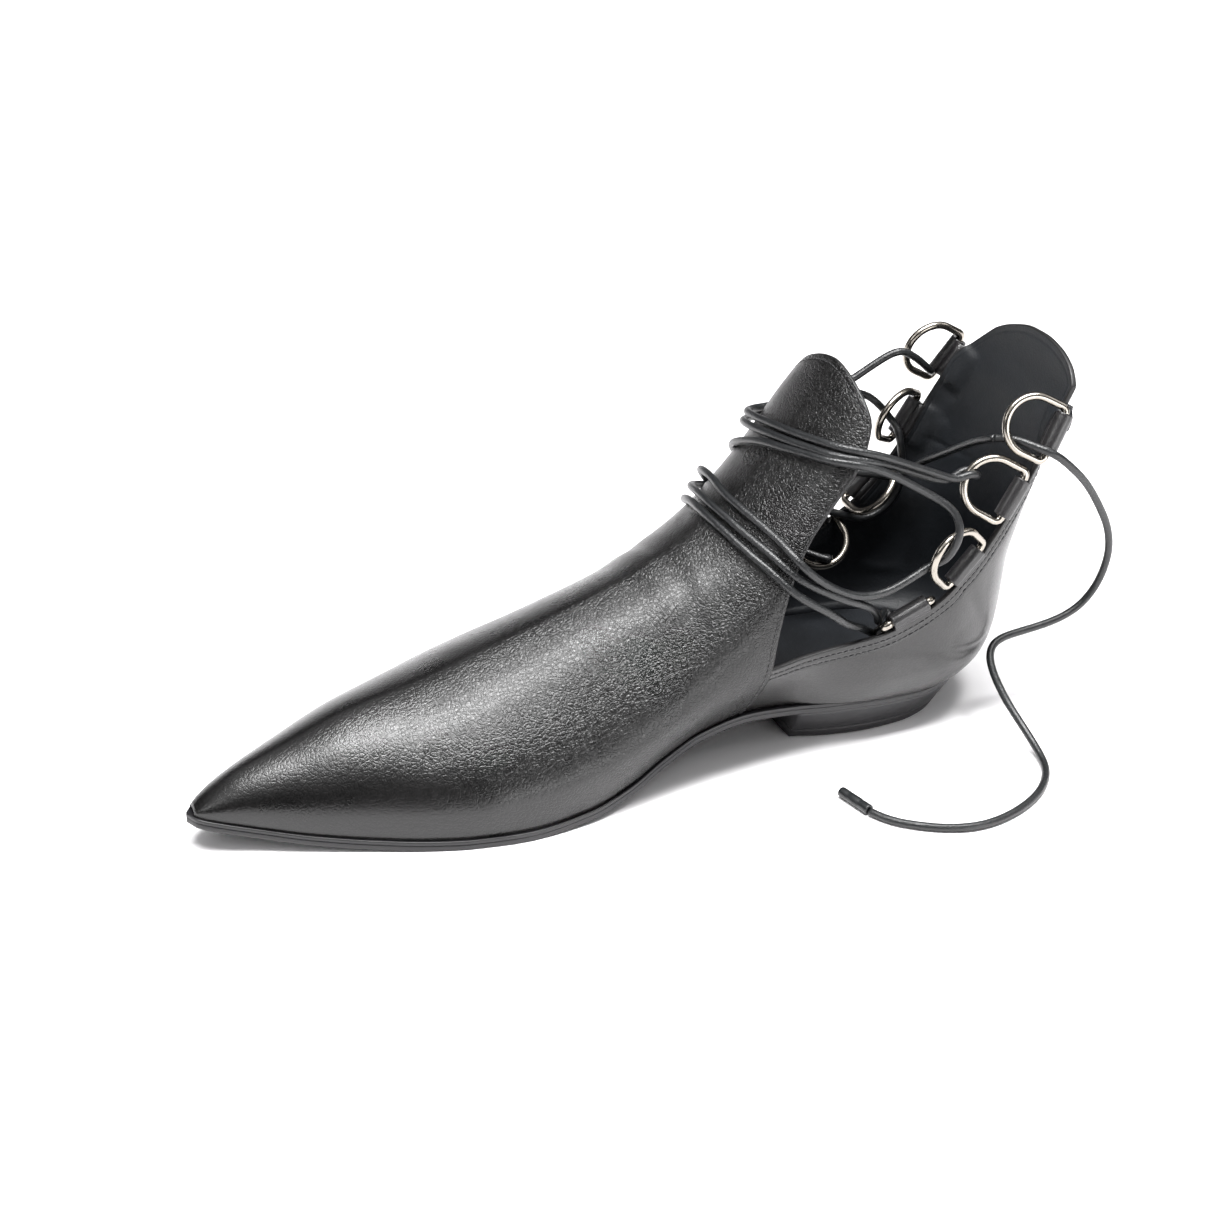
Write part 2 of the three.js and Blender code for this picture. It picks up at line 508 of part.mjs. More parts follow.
// Directions at a ring's bar: along it, out of the wall, and in the wall's own line past its edge
function barFrame(ring) {
  const x = ring.at * SOLE_LENGTH;
  const step = TAB_LENGTH / 10;
  const edge = edgePoint(x, ring.side, TAB_DEPTH);
  const along = edgePoint(x + step, ring.side, TAB_DEPTH).sub(edgePoint(x - step, ring.side, TAB_DEPTH));
  along.normalize();
  const half = (u, z) => quarterHalf(u, z, ring.side, TAB_DEPTH);
  const slopeX = (half(x + step, edge.z) - half(x - step, edge.z)) / (2 * step);
  const slopeZ = (half(x, edge.z + step) - half(x, edge.z - step)) / (2 * step);
  const out = new THREE.Vector3(-slopeX, ring.side, -slopeZ).normalize();
  const past = new THREE.Vector3().crossVectors(along, out).normalize();
  if (past.x + past.z < 0) past.negate();
  const centre = edge.addScaledVector(past, TAB_STANDOFF);
  const bow = new THREE.Vector3(ring.forward, -ring.side * ring.inward, ring.up);
  bow.addScaledVector(along, -bow.dot(along)).normalize();
  const face = new THREE.Vector3().crossVectors(along, bow).normalize();
  if (face.y * ring.side < 0) face.negate();
  return { along, out, past, centre, bow, face, slip: ring.slip };
}
const ringNamed = (name) => barFrame(RINGS.find((ring) => ring.name === name));

// A place on or near a ring: along its bar, out towards its bow and off its plane
function atRing(name, along, out, off) {
  const ring = ringNamed(name);
  return ring.centre.clone().addScaledVector(ring.along, along + ring.slip).addScaledVector(ring.bow, out)
    .addScaledVector(ring.face, off);
}

// A ring of bent wire: straight bar, two sides and a round bow
function makeRing(row) {
  const frame = barFrame(row);
  const half = (RING_WIDTH + RING_WIRE) / 2;
  const bend = RING_CORNER * (1 - Math.SQRT1_2);
  const outline = [
    [half - RING_CORNER, 0], [half - bend, bend], [half, RING_CORNER],
  ];
  const bowSteps = 8;
  for (let i = 0; i <= bowSteps; i += 1) {
    const angle = (Math.PI * i) / bowSteps;
    outline.push([half * Math.cos(angle), RING_REACH - half + half * Math.sin(angle)]);
  }
  outline.push([-half, RING_CORNER], [bend - half, bend], [RING_CORNER - half, 0]);
  const sides = 6;
  const position = [];
  const index = [];
  const count = outline.length;
  outline.forEach(([u, v], i) => {
    const [u0, v0] = outline[(i + count - 1) % count];
    const [u1, v1] = outline[(i + 1) % count];
    const length = Math.hypot(u1 - u0, v1 - v0);
    const normal = [(v1 - v0) / length, (u0 - u1) / length];
    for (let k = 0; k < sides; k += 1) {
      const angle = (2 * Math.PI * k) / sides;
      const r = (RING_WIRE / 2) * Math.cos(angle);
      const p = frame.centre.clone().addScaledVector(frame.along, u + row.slip + normal[0] * r)
        .addScaledVector(frame.bow, v + normal[1] * r)
        .addScaledVector(frame.face, (RING_WIRE / 2) * Math.sin(angle));
      position.push(p.x, p.y, p.z);
      const a = i * sides + k;
      const b = i * sides + ((k + 1) % sides);
      const c = ((i + 1) % count) * sides + k;
      const d = ((i + 1) % count) * sides + ((k + 1) % sides);
      index.push(a, b, d, a, d, c);
    }
  });
  const turned = new THREE.Vector3().crossVectors(frame.along, frame.bow).dot(frame.face) < 0;
  if (!turned) index.reverse();
  const geometry = new THREE.BufferGeometry();
  geometry.setAttribute('position', new THREE.Float32BufferAttribute(position, 3));
  geometry.setIndex(index);
  return geometry;
}

// Leather for the tails of the tabs: a thin shell just inside the quarter's lining
const tailShell = quarterBody(WALL + GAP, SKIRT).subtract(quarterBody(WALL + GAP + TAB_LEATHER, SKIRT));

// A tab: leather rolled round the bar, with its tail sewn to the lining behind the edge
function makeTab(row) {
  const frame = barFrame(row);
  const across = new THREE.Vector3().crossVectors(frame.past, frame.out);
  const turn = new THREE.Matrix4().makeBasis(frame.past, frame.out, across).setPosition(frame.centre);
  const roll = new THREE.Shape();
  roll.absarc(0, 0, TAB_OUTER, 0, 2 * Math.PI);
  const bore = new THREE.Path();
  bore.absarc(0, 0, TAB_BORE / 2, 0, 2 * Math.PI);
  roll.holes.push(bore);
  const sleeve = new THREE.ExtrudeGeometry(roll, {
    depth: TAB_LENGTH, bevelEnabled: false, steps: 1, curveSegments: 5,
  });
  sleeve.translate(0, 0, -TAB_LENGTH / 2);
  sleeve.applyMatrix4(turn);
  const reach = TAB_TAIL + TAB_STANDOFF;
  const patch = new THREE.BoxGeometry(reach, 8 * TAB_OUTER, TAB_LENGTH);
  patch.translate(-reach / 2, 0, 0);
  patch.applyMatrix4(turn);
  const hollow = new THREE.CylinderGeometry(TAB_BORE / 2, TAB_BORE / 2, 2 * TAB_LENGTH, 10);
  hollow.rotateX(Math.PI / 2);
  hollow.applyMatrix4(turn);
  return solid(sleeve).add(tailShell.intersect(solid(patch)).subtract(solid(hollow)));
}

const LACE_REST = LACE / 2 + 2 * GAP;       // from the leather to the lace's middle line
const LACED_TO = 0.6;                       // nothing of the lace lies further forward, share of SOLE_LENGTH
const CLOSE_ENOUGH = 0.01;

// A point of the lace on the front flap, found from y and z; lift is how far it stands off the leather
function onFlap([y, z, lift = LACE_REST]) {
  const side = y >= 0 ? 1 : -1;
  let low = VAMP_FROM * SOLE_LENGTH;
  let high = LACED_TO * SOLE_LENGTH;
  while (high - low > CLOSE_ENOUGH) {
    const middle = (low + high) / 2;
    if (vampHalf(middle, z, side) > Math.abs(y)) low = middle;
    else high = middle;
  }
  const slopeX = slopeAt((u) => vampHalf(u, z, side), low);
  const slopeZ = slopeAt((v) => vampHalf(low, v, side), z);
  const normal = new THREE.Vector3(-slopeX, side, -slopeZ).normalize();
  return new THREE.Vector3(low, y, z).addScaledVector(normal, lift);
}
const free = ([x, y, z]) => new THREE.Vector3(x, y, z);

// A cord along points, as a solid tube
function cord(points, sides, pace) {
  const section = new THREE.Shape(Array.from({ length: sides }, (_, i) => {
    const angle = (2 * Math.PI * i) / sides;
    return new THREE.Vector2(Math.cos(angle), Math.sin(angle)).multiplyScalar(LACE / 2);
  }));
  const path = new THREE.CatmullRomCurve3(points, false, 'centripetal');
  const steps = Math.ceil(path.getLength() / (pace * LACE));
  return new THREE.ExtrudeGeometry(section, { steps, bevelEnabled: false, extrudePath: path });
}

// The laced stretches, each from ring to ring. free: points in the open; onFlap: y, z and stand-off.
const STRANDS = [
  [
    atRing('medial_3', -1, RING_REACH, 3.2),
    ...[[13, 28.6, 86.6], [20, 28.4, 89.8], [28, 27.6, 93.2], [39, 27.9, 98.6]].map(free),
    ...[[22.6, 101.3, 3.2], [15.8, 101.7], [7.6, 101.0], [-2.6, 99.6], [-10, 97.4, 2.4],
      [-19, 94.2, 3.6], [-26, 91, 4.4]]
      .map(onFlap),
    ...[[46, -33, 90.5], [32, -31.5, 91.5], [20, -30.5, 94.5], [11.5, -29.5, 99.6], [5.2, -28.5, 103.6],
      [1.9, -27.6, 105.1], [-1.5, -27.4, 103.5], [-6.7, -27.4, 99.6], [-10, -27.4, 96.4]].map(free),
  ],
  [
    atRing('medial_3', -1, RING_REACH, -3.2),
    ...[[13, 24.6, 84.4], [20, 26.4, 87.2], [28, 26.2, 90.8], [39, 28.2, 96.4], [45, 28.0, 98.0]].map(free),
    ...[[22.6, 99.0, 3.6], [15.8, 99.4], [7.6, 98.7], [-2.6, 97.2], [-10, 95.0, 2.4], [-19, 91.8, 3.4],
      [-27, 88, 3.6]]
      .map(onFlap),
    ...[[47, -34, 87.4], [32, -32.5, 89.5], [20, -31.5, 92.0], [10.5, -31.2, 89.2], [5.1, -29.8, 84.3],
      [1.6, -30.4, 80], [-0.2, -28.6, 77.2], [-0.2, -26.6, 75.4], [-0.2, -26.0, 73.2], [-2.2, -26.6, 66.5],
      [-2.0, -26.0, 57.8], [1.5, -26.2, 51.0], [5.4, -27.6, 46.8],
      [10.2, -28, 45.6], [16, -28, 47.8], [23, -28.4, 51], [34, -31, 55], [48, -35, 59.5]].map(free),
    ...[[-30.5, 66, 3.2], [-22, 70, 3.0], [-12, 73.2, 2.4], [-1.2, 74.8], [7, 74.4], [14.4, 72.8],
      [24.3, 69.8]]
      .map(onFlap),
    ...[[68.8, 33.2, 66.4], [60.3, 35.5, 61.0], [50.4, 35.5, 55.4], [42, 33, 50.7], [37, 29.6, 45.2],
      [34.6, 26.0, 40.2]].map(free),
    atRing('medial_1', 1, RING_REACH, -4),
  ],
  [
    atRing('medial_1', 2, RING_REACH - 0.2, -4),
    ...[[38.4, 26.2, 38.0], [42.4, 29.6, 41.8], [49.6, 33.2, 46.0], [55.8, 36, 52.0], [63.7, 36.2, 57.6],
      [69.6, 34.6, 61.6]].map(free),
    ...[[27, 65.6], [20.5, 68.4], [12.3, 71.0], [4, 72.4], [-5, 72.2], [-14, 70.4], [-23, 67],
      [-31, 61.6]].map(onFlap),
    ...[[60, -38, 54.6], [51, -36.5, 49], [43.4, -32, 43.6], [38.4, -27.0, 39.2]].map(free),
    atRing('lateral_1', 2, RING_REACH - 0.2, -4),
  ],
  [
    atRing('lateral_1', 1, RING_REACH, -4),
    ...[[35.6, -26.2, 40.8], [42, -32, 46.4], [52, -36.5, 53.4], [60, -38.4, 60.6]].map(free),
    ...[[-30, 69.5, 4.2], [-22, 74.6, 4.2], [-12, 77.6, 2.6], [-2.5, 78.2], [5, 78.0], [12.8, 76.8],
      [24.3, 73.2]]
      .map(onFlap),
    ...[[67.6, 34.4, 70.8], [61.5, 35.5, 64.6], [57, 35.5, 61.5], [50.9, 35, 57.5], [46.4, 34.5, 55.6],
      [40.5, 34, 54.6], [35.1, 33, 55.1], [29.4, 32.4, 56.7]].map(free),
    atRing('medial_2', 0, RING_REACH, -3.2),
  ],
  [
    atRing('medial_2', -4, RING_REACH - 2, 3.2),
    ...[[14.8, 38.2, 76], [17.9, 34.6, 81.2], [22.6, 32.4, 84.2], [29.1, 30.6, 88.2], [33.1, 30, 91],
      [39.3, 29.2, 94.4],
      [46.9, 28.4, 97.4]].map(free),
    ...[[21.8, 97.7, 3.4], [14.3, 97.8], [6.3, 96.9], [-3.4, 95.0], [-13, 90.8], [-22, 85.5],
      [-29, 79.6]].map(onFlap),
    ...[[54, -35, 74], [40, -33, 68.4], [27, -30, 65.5], [15.6, -27.6, 64.1], [7.2, -26.6, 62.0],
      [3.2, -26, 60.6],
      [-0.4, -25, 60.8], [-3.2, -23, 63.4], [-4.6, -19.8, 67.6], [-4.4, -12, 72.7], [-3.8, 0, 80.9],
      [-3.3, 12, 89], [-2.9, 19, 93],
      [-2.9, 22.6, 94.7]].map(free),
  ],
];

function makeLacing() {
  return STRANDS.map((points) => solid(cord(points, 6, 3))).reduce((all, one) => all.add(one));
}

// The free end: out through the uppermost ring, down against the counter and along the floor
const FREE_END = [
  [-3.3, 23.3, 95.1], [-5.0, 26.1, 96.4], [-7.2, 27.8, 96.5], [-10.2, 31.4, 95.6], [-12.2, 35.2, 95.2],
  [-16.3, 37.8, 93.8], [-19.8, 38.1, 90.6], [-25.6, 37.6, 85.3], [-30.4, 36.6, 80.0],
  [-36.4, 35.4, 71.4], [-41.4, 34.2, 63.0], [-44.2, 33.0, 54.0], [-44.4, 31.6, 46.0],
  [-42.6, 30.8, 39.4], [-38.6, 30.0, 33.3], [-31.6, 29.4, 29.4], [-22.6, 27.8, 26.8], [-15.0, 26.4, 25.2],
  [-9.4, 26.0, 23.8], [-6.4, 28.0, 22.0], [-5.2, 31.0, 19.4], [-5.0, 35.0, 16.2], [-5.6, 41.6, 11.2],
  [-6.7, 50.0, 6.6], [-7.2, 58.4, 2.8], [-6.2, 64.8, 1.4], [-3.4, 70.2, 1.3], [2.1, 76.2, 1.3],
  [10.3, 81.6, 1.3],
  [20.5, 85.4, 1.3], [30.0, 86.6, 1.3], [39.7, 84.2, 1.3], [48.3, 79.0, 1.3], [54.2, 73.8, 1.3],
  [57.4, 67.6, 1.3],
].map(free);
const AGLET_WAY = new THREE.Vector3(0.24, -0.97, 0).normalize();

const FLOOR_PLAY = 0.05;        // between the aglet and the floor

// The aglet: a plain tube crimped on the lace's end, with a shallow hollow at its tip
function makeAglet() {
  const rim = AGLET / 2;
  const hollow = 0.6 * rim;
  const profile = [
    [0, 0], [rim - AGLET_CHAMFER, 0], [rim, AGLET_CHAMFER], [rim, AGLET_LENGTH - AGLET_CHAMFER],
    [rim - AGLET_CHAMFER, AGLET_LENGTH], [hollow, AGLET_LENGTH], [hollow, AGLET_LENGTH - AGLET_HOLLOW],
    [0, AGLET_LENGTH - AGLET_HOLLOW],
  ].map(([r, y]) => new THREE.Vector2(r, y));
  const geometry = new THREE.LatheGeometry(profile, 12);
  geometry.applyQuaternion(new THREE.Quaternion().setFromUnitVectors(new THREE.Vector3(0, 1, 0), AGLET_WAY));
  const end = FREE_END[FREE_END.length - 1].clone().addScaledVector(AGLET_WAY, GAP);
  geometry.translate(end.x, end.y, rim + FLOOR_PLAY);
  return solid(geometry);
}

const COLOURS = {
  leather: 0x1b191a, sole: 0x161517, lining: 0x202429, metal: 0x77736d, lace: 0x26282a, aglet: 0x1d1f20,
};
function material(colour, roughness, metalness = 0) {
  return new THREE.MeshStandardMaterial({ color: colour, roughness, metalness });
}
const upperLeather = material(COLOURS.leather, 0.45);
const soleBlack = material(COLOURS.sole, 0.4);
const liningLeather = material(COLOURS.lining, 0.6);
const ringMetal = material(COLOURS.metal, 0.25, 1);
const laceLeather = material(COLOURS.lace, 0.5);
const agletBlack = material(COLOURS.aglet, 0.4);

const shoe = new THREE.Group();
function place(geometry, name, look) {
  const mesh = new THREE.Mesh(geometry, look);
  mesh.name = name;
  mesh.position.x = -ORIGIN_AT;
  shoe.add(mesh);
}

place(geometryOf(makeUpper()), 'upper', upperLeather);
place(geometryOf(makeOutsole()), 'outsole', soleBlack);
place(geometryOf(makeHeel()), 'heel_block', soleBlack);
place(geometryOf(makeInsole()), 'insole', liningLeather);
for (const row of RINGS) {
  place(geometryOf(makeTab(row)), `tab_${row.name}`, upperLeather);
  place(makeRing(row), `ring_${row.name}`, ringMetal);
}
place(geometryOf(makeLacing()), 'lace_wraps', laceLeather);
place(geometryOf(solid(cord(FREE_END, 8, 2.4))), 'lace_end', laceLeather);
place(geometryOf(makeAglet()), 'aglet', agletBlack);

export default shoe;
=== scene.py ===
# A right-foot, pointed, flat ankle shoe in black leather with cut-out sides, laced through rings.
# Metres, +X heel to toe, +Y medial, +Z up, floor at z = 0, origin under the middle of the heel's underside.
import math
import bmesh
import bpy
import numpy as np
from mathutils import Matrix, Vector


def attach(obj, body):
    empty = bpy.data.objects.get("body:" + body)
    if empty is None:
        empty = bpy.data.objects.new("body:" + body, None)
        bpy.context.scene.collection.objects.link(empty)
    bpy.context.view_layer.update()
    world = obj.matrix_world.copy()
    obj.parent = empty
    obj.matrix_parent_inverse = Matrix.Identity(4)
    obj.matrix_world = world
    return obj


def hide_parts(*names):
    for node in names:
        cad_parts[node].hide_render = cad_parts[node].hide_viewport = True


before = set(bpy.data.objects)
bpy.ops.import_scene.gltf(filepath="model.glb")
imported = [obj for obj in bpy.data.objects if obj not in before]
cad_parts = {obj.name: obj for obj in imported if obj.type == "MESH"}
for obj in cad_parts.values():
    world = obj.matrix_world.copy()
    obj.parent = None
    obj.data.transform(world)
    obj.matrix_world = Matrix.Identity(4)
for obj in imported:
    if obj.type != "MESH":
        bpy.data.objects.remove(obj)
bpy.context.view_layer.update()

# Camera: the photograph's own angle, rolled by one degree, with a long lens close to the shoe.
MM = 0.001
AZIMUTH, ELEVATION, ROLL = (math.radians(a) for a in (24.114, 29.338, 1.027))
camera_data = bpy.data.cameras.new("camera")
camera_data.sensor_width = 36
camera_data.lens = 36 * 2300 / 1225
camera = bpy.data.objects.new("camera", camera_data)
bpy.context.scene.collection.objects.link(camera)
level_share = math.cos(ELEVATION)
look = Vector((-level_share * math.sin(AZIMUTH), -level_share * math.cos(AZIMUTH), -math.sin(ELEVATION)))
level = look.cross(Vector((0, 0, 1))).normalized()
upright = level.cross(look)
right = math.cos(ROLL) * level + math.sin(ROLL) * upright
top = math.cos(ROLL) * upright - math.sin(ROLL) * level
turned = Matrix((right, top, -look)).transposed().to_4x4()
camera.matrix_world = Matrix.Translation(Vector((333.59, 559.56, 391.06)) * MM) @ turned
bpy.context.scene.camera = camera


# Floor and light: a pale sweep under large soft lamps, as in a catalogue studio.
def node(tree, kind, links=(), **settings):
    """Adds one node with its settings, and links sockets into it: (its input, (node, output))."""
    made = tree.nodes.new(kind)
    for name, value in settings.items():
        if name.startswith("in_"):
            made.inputs[name[3:].replace("_", " ")].default_value = value
        else:
            setattr(made, name, value)
    for socket, (other, output) in links:
        tree.links.new(other.outputs[output], made.inputs[socket])
    return made


def tone(code):
    """An sRGB hex code as linear red, green, blue and one."""
    parts = [int(code[i:i + 2], 16) / 255 for i in (0, 2, 4)]
    return [c / 12.92 if c <= 0.04045 else ((c + 0.055) / 1.055) ** 2.4 for c in parts] + [1]


def finish(name, **shader):
    """A material with its Principled shader set, its tree and that shader."""
    made = bpy.data.materials.new(name)
    made.use_nodes = True
    skin = made.node_tree.nodes["Principled BSDF"]
    for key, value in shader.items():
        skin.inputs[key.replace("_", " ")].default_value = value
    return made, made.node_tree, skin


def mesh_piece(name, points, faces, materials):
    """A mesh object from points in millimetres."""
    mesh = bpy.data.meshes.new(name)
    mesh.from_pydata([tuple(float(c) * MM for c in p) for p in points], [],
                     [tuple(map(int, f)) for f in faces])
    mesh.update()
    for material in materials:
        mesh.materials.append(material)
    mesh.polygons.foreach_set("use_smooth", [True] * len(mesh.polygons))
    piece = bpy.data.objects.new(name, mesh)
    bpy.context.scene.collection.objects.link(piece)
    return piece


def clouded(tree, skin, scale, detail, dull_from, dull_to, shades=()):
    """Lets the roughness, and two shades if given, drift softly. Returns the place and the drift."""
    place = node(tree, "ShaderNodeTexCoord")
    cloud = node(tree, "ShaderNodeTexNoise", [("Vector", (place, "Object"))], in_Scale=scale,
                 in_Detail=detail)
    gloss = node(tree, "ShaderNodeMapRange", [("Value", (cloud, "Fac"))], in_To_Min=dull_from,
                 in_To_Max=dull_to)
    tree.links.new(gloss.outputs[0], skin.inputs["Roughness"])
    if shades:
        shade = node(tree, "ShaderNodeValToRGB", [("Fac", (cloud, "Fac"))])
        for stop, code in zip(shade.color_ramp.elements, shades):
            stop.color = tone(code)
        tree.links.new(shade.outputs[0], skin.inputs["Base Color"])
    return place, cloud


# Painted board, rolled on: an even pale matt, with a faint unevenness in its sheen.
floor_finish, tree, skin = finish("painted studio floor", Base_Color=tone("f4f3f4"))
clouded(tree, skin, 0.33, 2.0, 0.7, 0.8)
REACH = 6000
corners = [(-REACH, -REACH, 0), (REACH, -REACH, 0), (REACH, REACH, 0), (-REACH, REACH, 0)]
floor = mesh_piece("floor", corners, [(0, 1, 2, 3)], [floor_finish])

world = bpy.data.worlds.new("studio")
bpy.context.scene.world = world
bpy.context.scene.view_settings.view_transform = "Standard"
world.use_nodes = True
sky = world.node_tree
way = node(sky, "ShaderNodeTexCoord")
apart = node(sky, "ShaderNodeSeparateXYZ", [("Vector", (way, "Generated"))])
glow = node(sky, "ShaderNodeMapRange", [("Value", (apart, "Z"))], in_From_Min=0.5, in_From_Max=1.0,
            in_To_Min=0.06, in_To_Max=1.2)
sky.nodes["Background"].inputs["Color"].default_value = tone("f6f5f6")
sky.links.new(glow.outputs[0], sky.nodes["Background"].inputs["Strength"])


def lamp(name, at, aim, size, power):
    """A soft white lamp; at and aim in millimetres, size in metres."""
    data = bpy.data.lights.new(name, "AREA")
    data.shape = "RECTANGLE"
    data.size, data.size_y = size
    data.energy = power
    made = bpy.data.objects.new(name, data)
    bpy.context.scene.collection.objects.link(made)
    made.location = Vector(at) * MM
    made.rotation_euler = (Vector(aim) - Vector(at)).to_track_quat("-Z", "Y").to_euler()


lamp("overhead softbox", (60, 110, 1300), (60, 10, 30), (1.2, 0.32), 42)
lamp("front card", (-480, 1400, 190), (40, 40, 40), (1.1, 0.4), 10)
lamp("toe-side softbox", (1250, 150, 800), (90, 0, 50), (0.5, 0.5), 2.5)
lamp("heel-side softbox", (-1100, 300, 800), (0, 0, 50), (0.5, 0.5), 1.5)


# Lace, free end: one round waxed leather cord, 2.5 mm thick. It comes out through the uppermost ring on the
# medial side, hangs down against the counter, touches the heel and lies in an open curve on the floor.
LACE = 2.5
HEEL_BACK = 30          # from the origin back to the heel's rear, which the tables below start from

FREE_END = [
    (-3.3, 23.3, 95.1), (-5.0, 26.1, 96.4), (-7.2, 27.8, 96.5), (-10.2, 31.4, 95.6), (-12.2, 35.2, 95.2),
    (-16.3, 37.8, 93.8), (-19.8, 38.1, 90.6), (-25.6, 37.6, 85.3), (-30.4, 36.6, 80.0), (-36.4, 35.4, 71.4),
    (-41.4, 34.2, 63.0), (-44.2, 33.0, 54.0), (-44.4, 31.6, 46.0), (-42.6, 30.8, 39.4), (-38.6, 30.0, 33.3),
    (-31.6, 29.4, 29.4), (-22.6, 27.8, 26.8), (-15.0, 26.4, 25.2), (-9.4, 26.0, 23.8), (-6.4, 28.0, 22.0),
    (-5.2, 31.0, 19.4), (-5.0, 35.0, 16.2), (-5.6, 41.6, 11.2), (-6.7, 50.0, 6.6), (-7.2, 58.4, 2.8),
    (-6.2, 64.8, 1.4), (-3.4, 70.2, 1.3), (2.1, 76.2, 1.3), (10.3, 81.6, 1.3), (20.5, 85.4, 1.3),
    (30.0, 86.6, 1.3), (39.7, 84.2, 1.3), (48.3, 79.0, 1.3), (54.2, 73.8, 1.3), (57.4, 67.6, 1.3),
]


def smooth_path(points, pace):
    """Points a pace apart along the smooth curve through the given ones."""
    p = np.array(points, float)
    p = np.vstack([2 * p[0] - p[1], p, 2 * p[-1] - p[-2]])
    out = []
    for a, b, c, d in zip(p, p[1:], p[2:], p[3:]):
        gaps = [max(np.linalg.norm(v) ** 0.5, 1e-4) for v in (b - a, c - b, d - c)]
        t0, t1, t2, t3 = np.cumsum([0] + gaps)
        for t in np.linspace(t1, t2, 24, endpoint=False):
            ab = ((t1 - t) * a + (t - t0) * b) / (t1 - t0)
            bc = ((t2 - t) * b + (t - t1) * c) / (t2 - t1)
            cd = ((t3 - t) * c + (t - t2) * d) / (t3 - t2)
            abc = ((t2 - t) * ab + (t - t0) * bc) / (t2 - t0)
            bcd = ((t3 - t) * bc + (t - t1) * cd) / (t3 - t1)
            out.append(((t2 - t) * abc + (t - t1) * bcd) / (t2 - t1))
    out.append(p[-2])
    out = np.array(out)
    run = np.concatenate([[0], np.cumsum(np.linalg.norm(np.diff(out, axis=0), axis=1))])
    places = np.linspace(0, run[-1], max(2, int(round(run[-1] / pace)) + 1))
    return np.stack([np.interp(places, run, out[:, i]) for i in range(3)], 1)


def tube(name, paths, radius, sides, materials, closed=False):
    """Round tubes along paths, with a UV map in metres: along the tube and around it."""
    points, faces, uvs = [], [], []
    for path in paths:
        path = np.asarray(path)
        count = len(path)
        tangent = np.roll(path, -1, 0) - np.roll(path, 1, 0)
        if not closed:
            tangent[0], tangent[-1] = path[1] - path[0], path[-1] - path[-2]
        tangent /= np.linalg.norm(tangent, axis=1)[:, None]
        side = np.cross(tangent[0], (0.3, 0.2, 0.93))
        run = np.concatenate([[0], np.cumsum(np.linalg.norm(np.diff(path, axis=0), axis=1))]) * MM
        start = len(points)
        for i in range(count):
            side = side - tangent[i] * np.dot(side, tangent[i])
            side /= np.linalg.norm(side)
            other = np.cross(tangent[i], side)
            for k in range(sides):
                angle = 2 * math.pi * k / sides
                points.append(path[i] + radius * (math.cos(angle) * side + math.sin(angle) * other))
        girth = 2 * math.pi * radius * MM
        for i in range(count if closed else count - 1):
            j = (i + 1) % count
            for k in range(sides):
                m = (k + 1) % sides
                here, there = start + i * sides, start + j * sides
                faces.append((here + k, here + m, there + m, there + k))
                after = run[i] + (run[1] - run[0]) if j == 0 else run[j]
                uvs += [(run[i], girth * k / sides), (run[i], girth * (k + 1) / sides),
                        (after, girth * (k + 1) / sides), (after, girth * k / sides)]
        if not closed:
            for end, turn in ((0, -1), (count - 1, 1)):
                ring = [start + end * sides + k for k in range(sides)]
                faces.append(ring[::turn])
                uvs += [(run[end], 0)] * sides
    piece = mesh_piece(name, points, faces, materials)
    layer = piece.data.uv_layers.new(name="along")
    layer.data.foreach_set("uv", [c for uv in uvs for c in uv])
    return piece


# Waxed leather cord: rolled and drawn through a die, so fine crossed pores lie along a dull sheen.
cord_finish, tree, skin = finish("waxed leather cord", Roughness=0.40, IOR=1.5, Coat_Weight=0.18,
                                 Coat_Roughness=0.25)
along = node(tree, "ShaderNodeUVMap", uv_map="along")
PORE = 0.55 * MM        # drawn at twice its size, so that it shows
stretch = node(tree, "ShaderNodeMapping", [("Vector", (along, 0))], in_Scale=(1 / PORE, 1 / PORE, 1))
weave = node(tree, "ShaderNodeTexVoronoi", [("Vector", (stretch, 0))], in_Scale=1.0, in_Randomness=0.7)
fibre = node(tree, "ShaderNodeTexNoise", [("Vector", (stretch, 0))], in_Scale=0.6, in_Detail=4.0)
shade = node(tree, "ShaderNodeValToRGB", [("Fac", (fibre, "Fac"))])
shade.color_ramp.elements[0].color = tone("08090a")
shade.color_ramp.elements[1].color = tone("1a1c1e")
tree.links.new(shade.outputs[0], skin.inputs["Base Color"])
pits = node(tree, "ShaderNodeBump", [("Height", (weave, "Distance"))], in_Strength=0.8, in_Distance=0.00016)
tree.links.new(pits.outputs[0], skin.inputs["Normal"])

shifted = [(x - HEEL_BACK, y, z) for x, y, z in FREE_END]
free_path = smooth_path(shifted, 0.8)
for _ in range(25):
    free_path[1:-1] = (free_path[:-2] + free_path[1:-1] + free_path[2:]) / 3
lace_free = tube("lace_free_end", [free_path], LACE / 2, 20, [cord_finish])
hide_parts("lace_end")
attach(lace_free, "root")

# Aglet: a short black tube of plastic, shrunk on over the cord's end and crimped twice. It is open at its
# tip, where the cut end of the lace shows inside.
AGLET = 3.3
AGLET_WAY = Vector((0.24, -0.97, 0)).normalized()
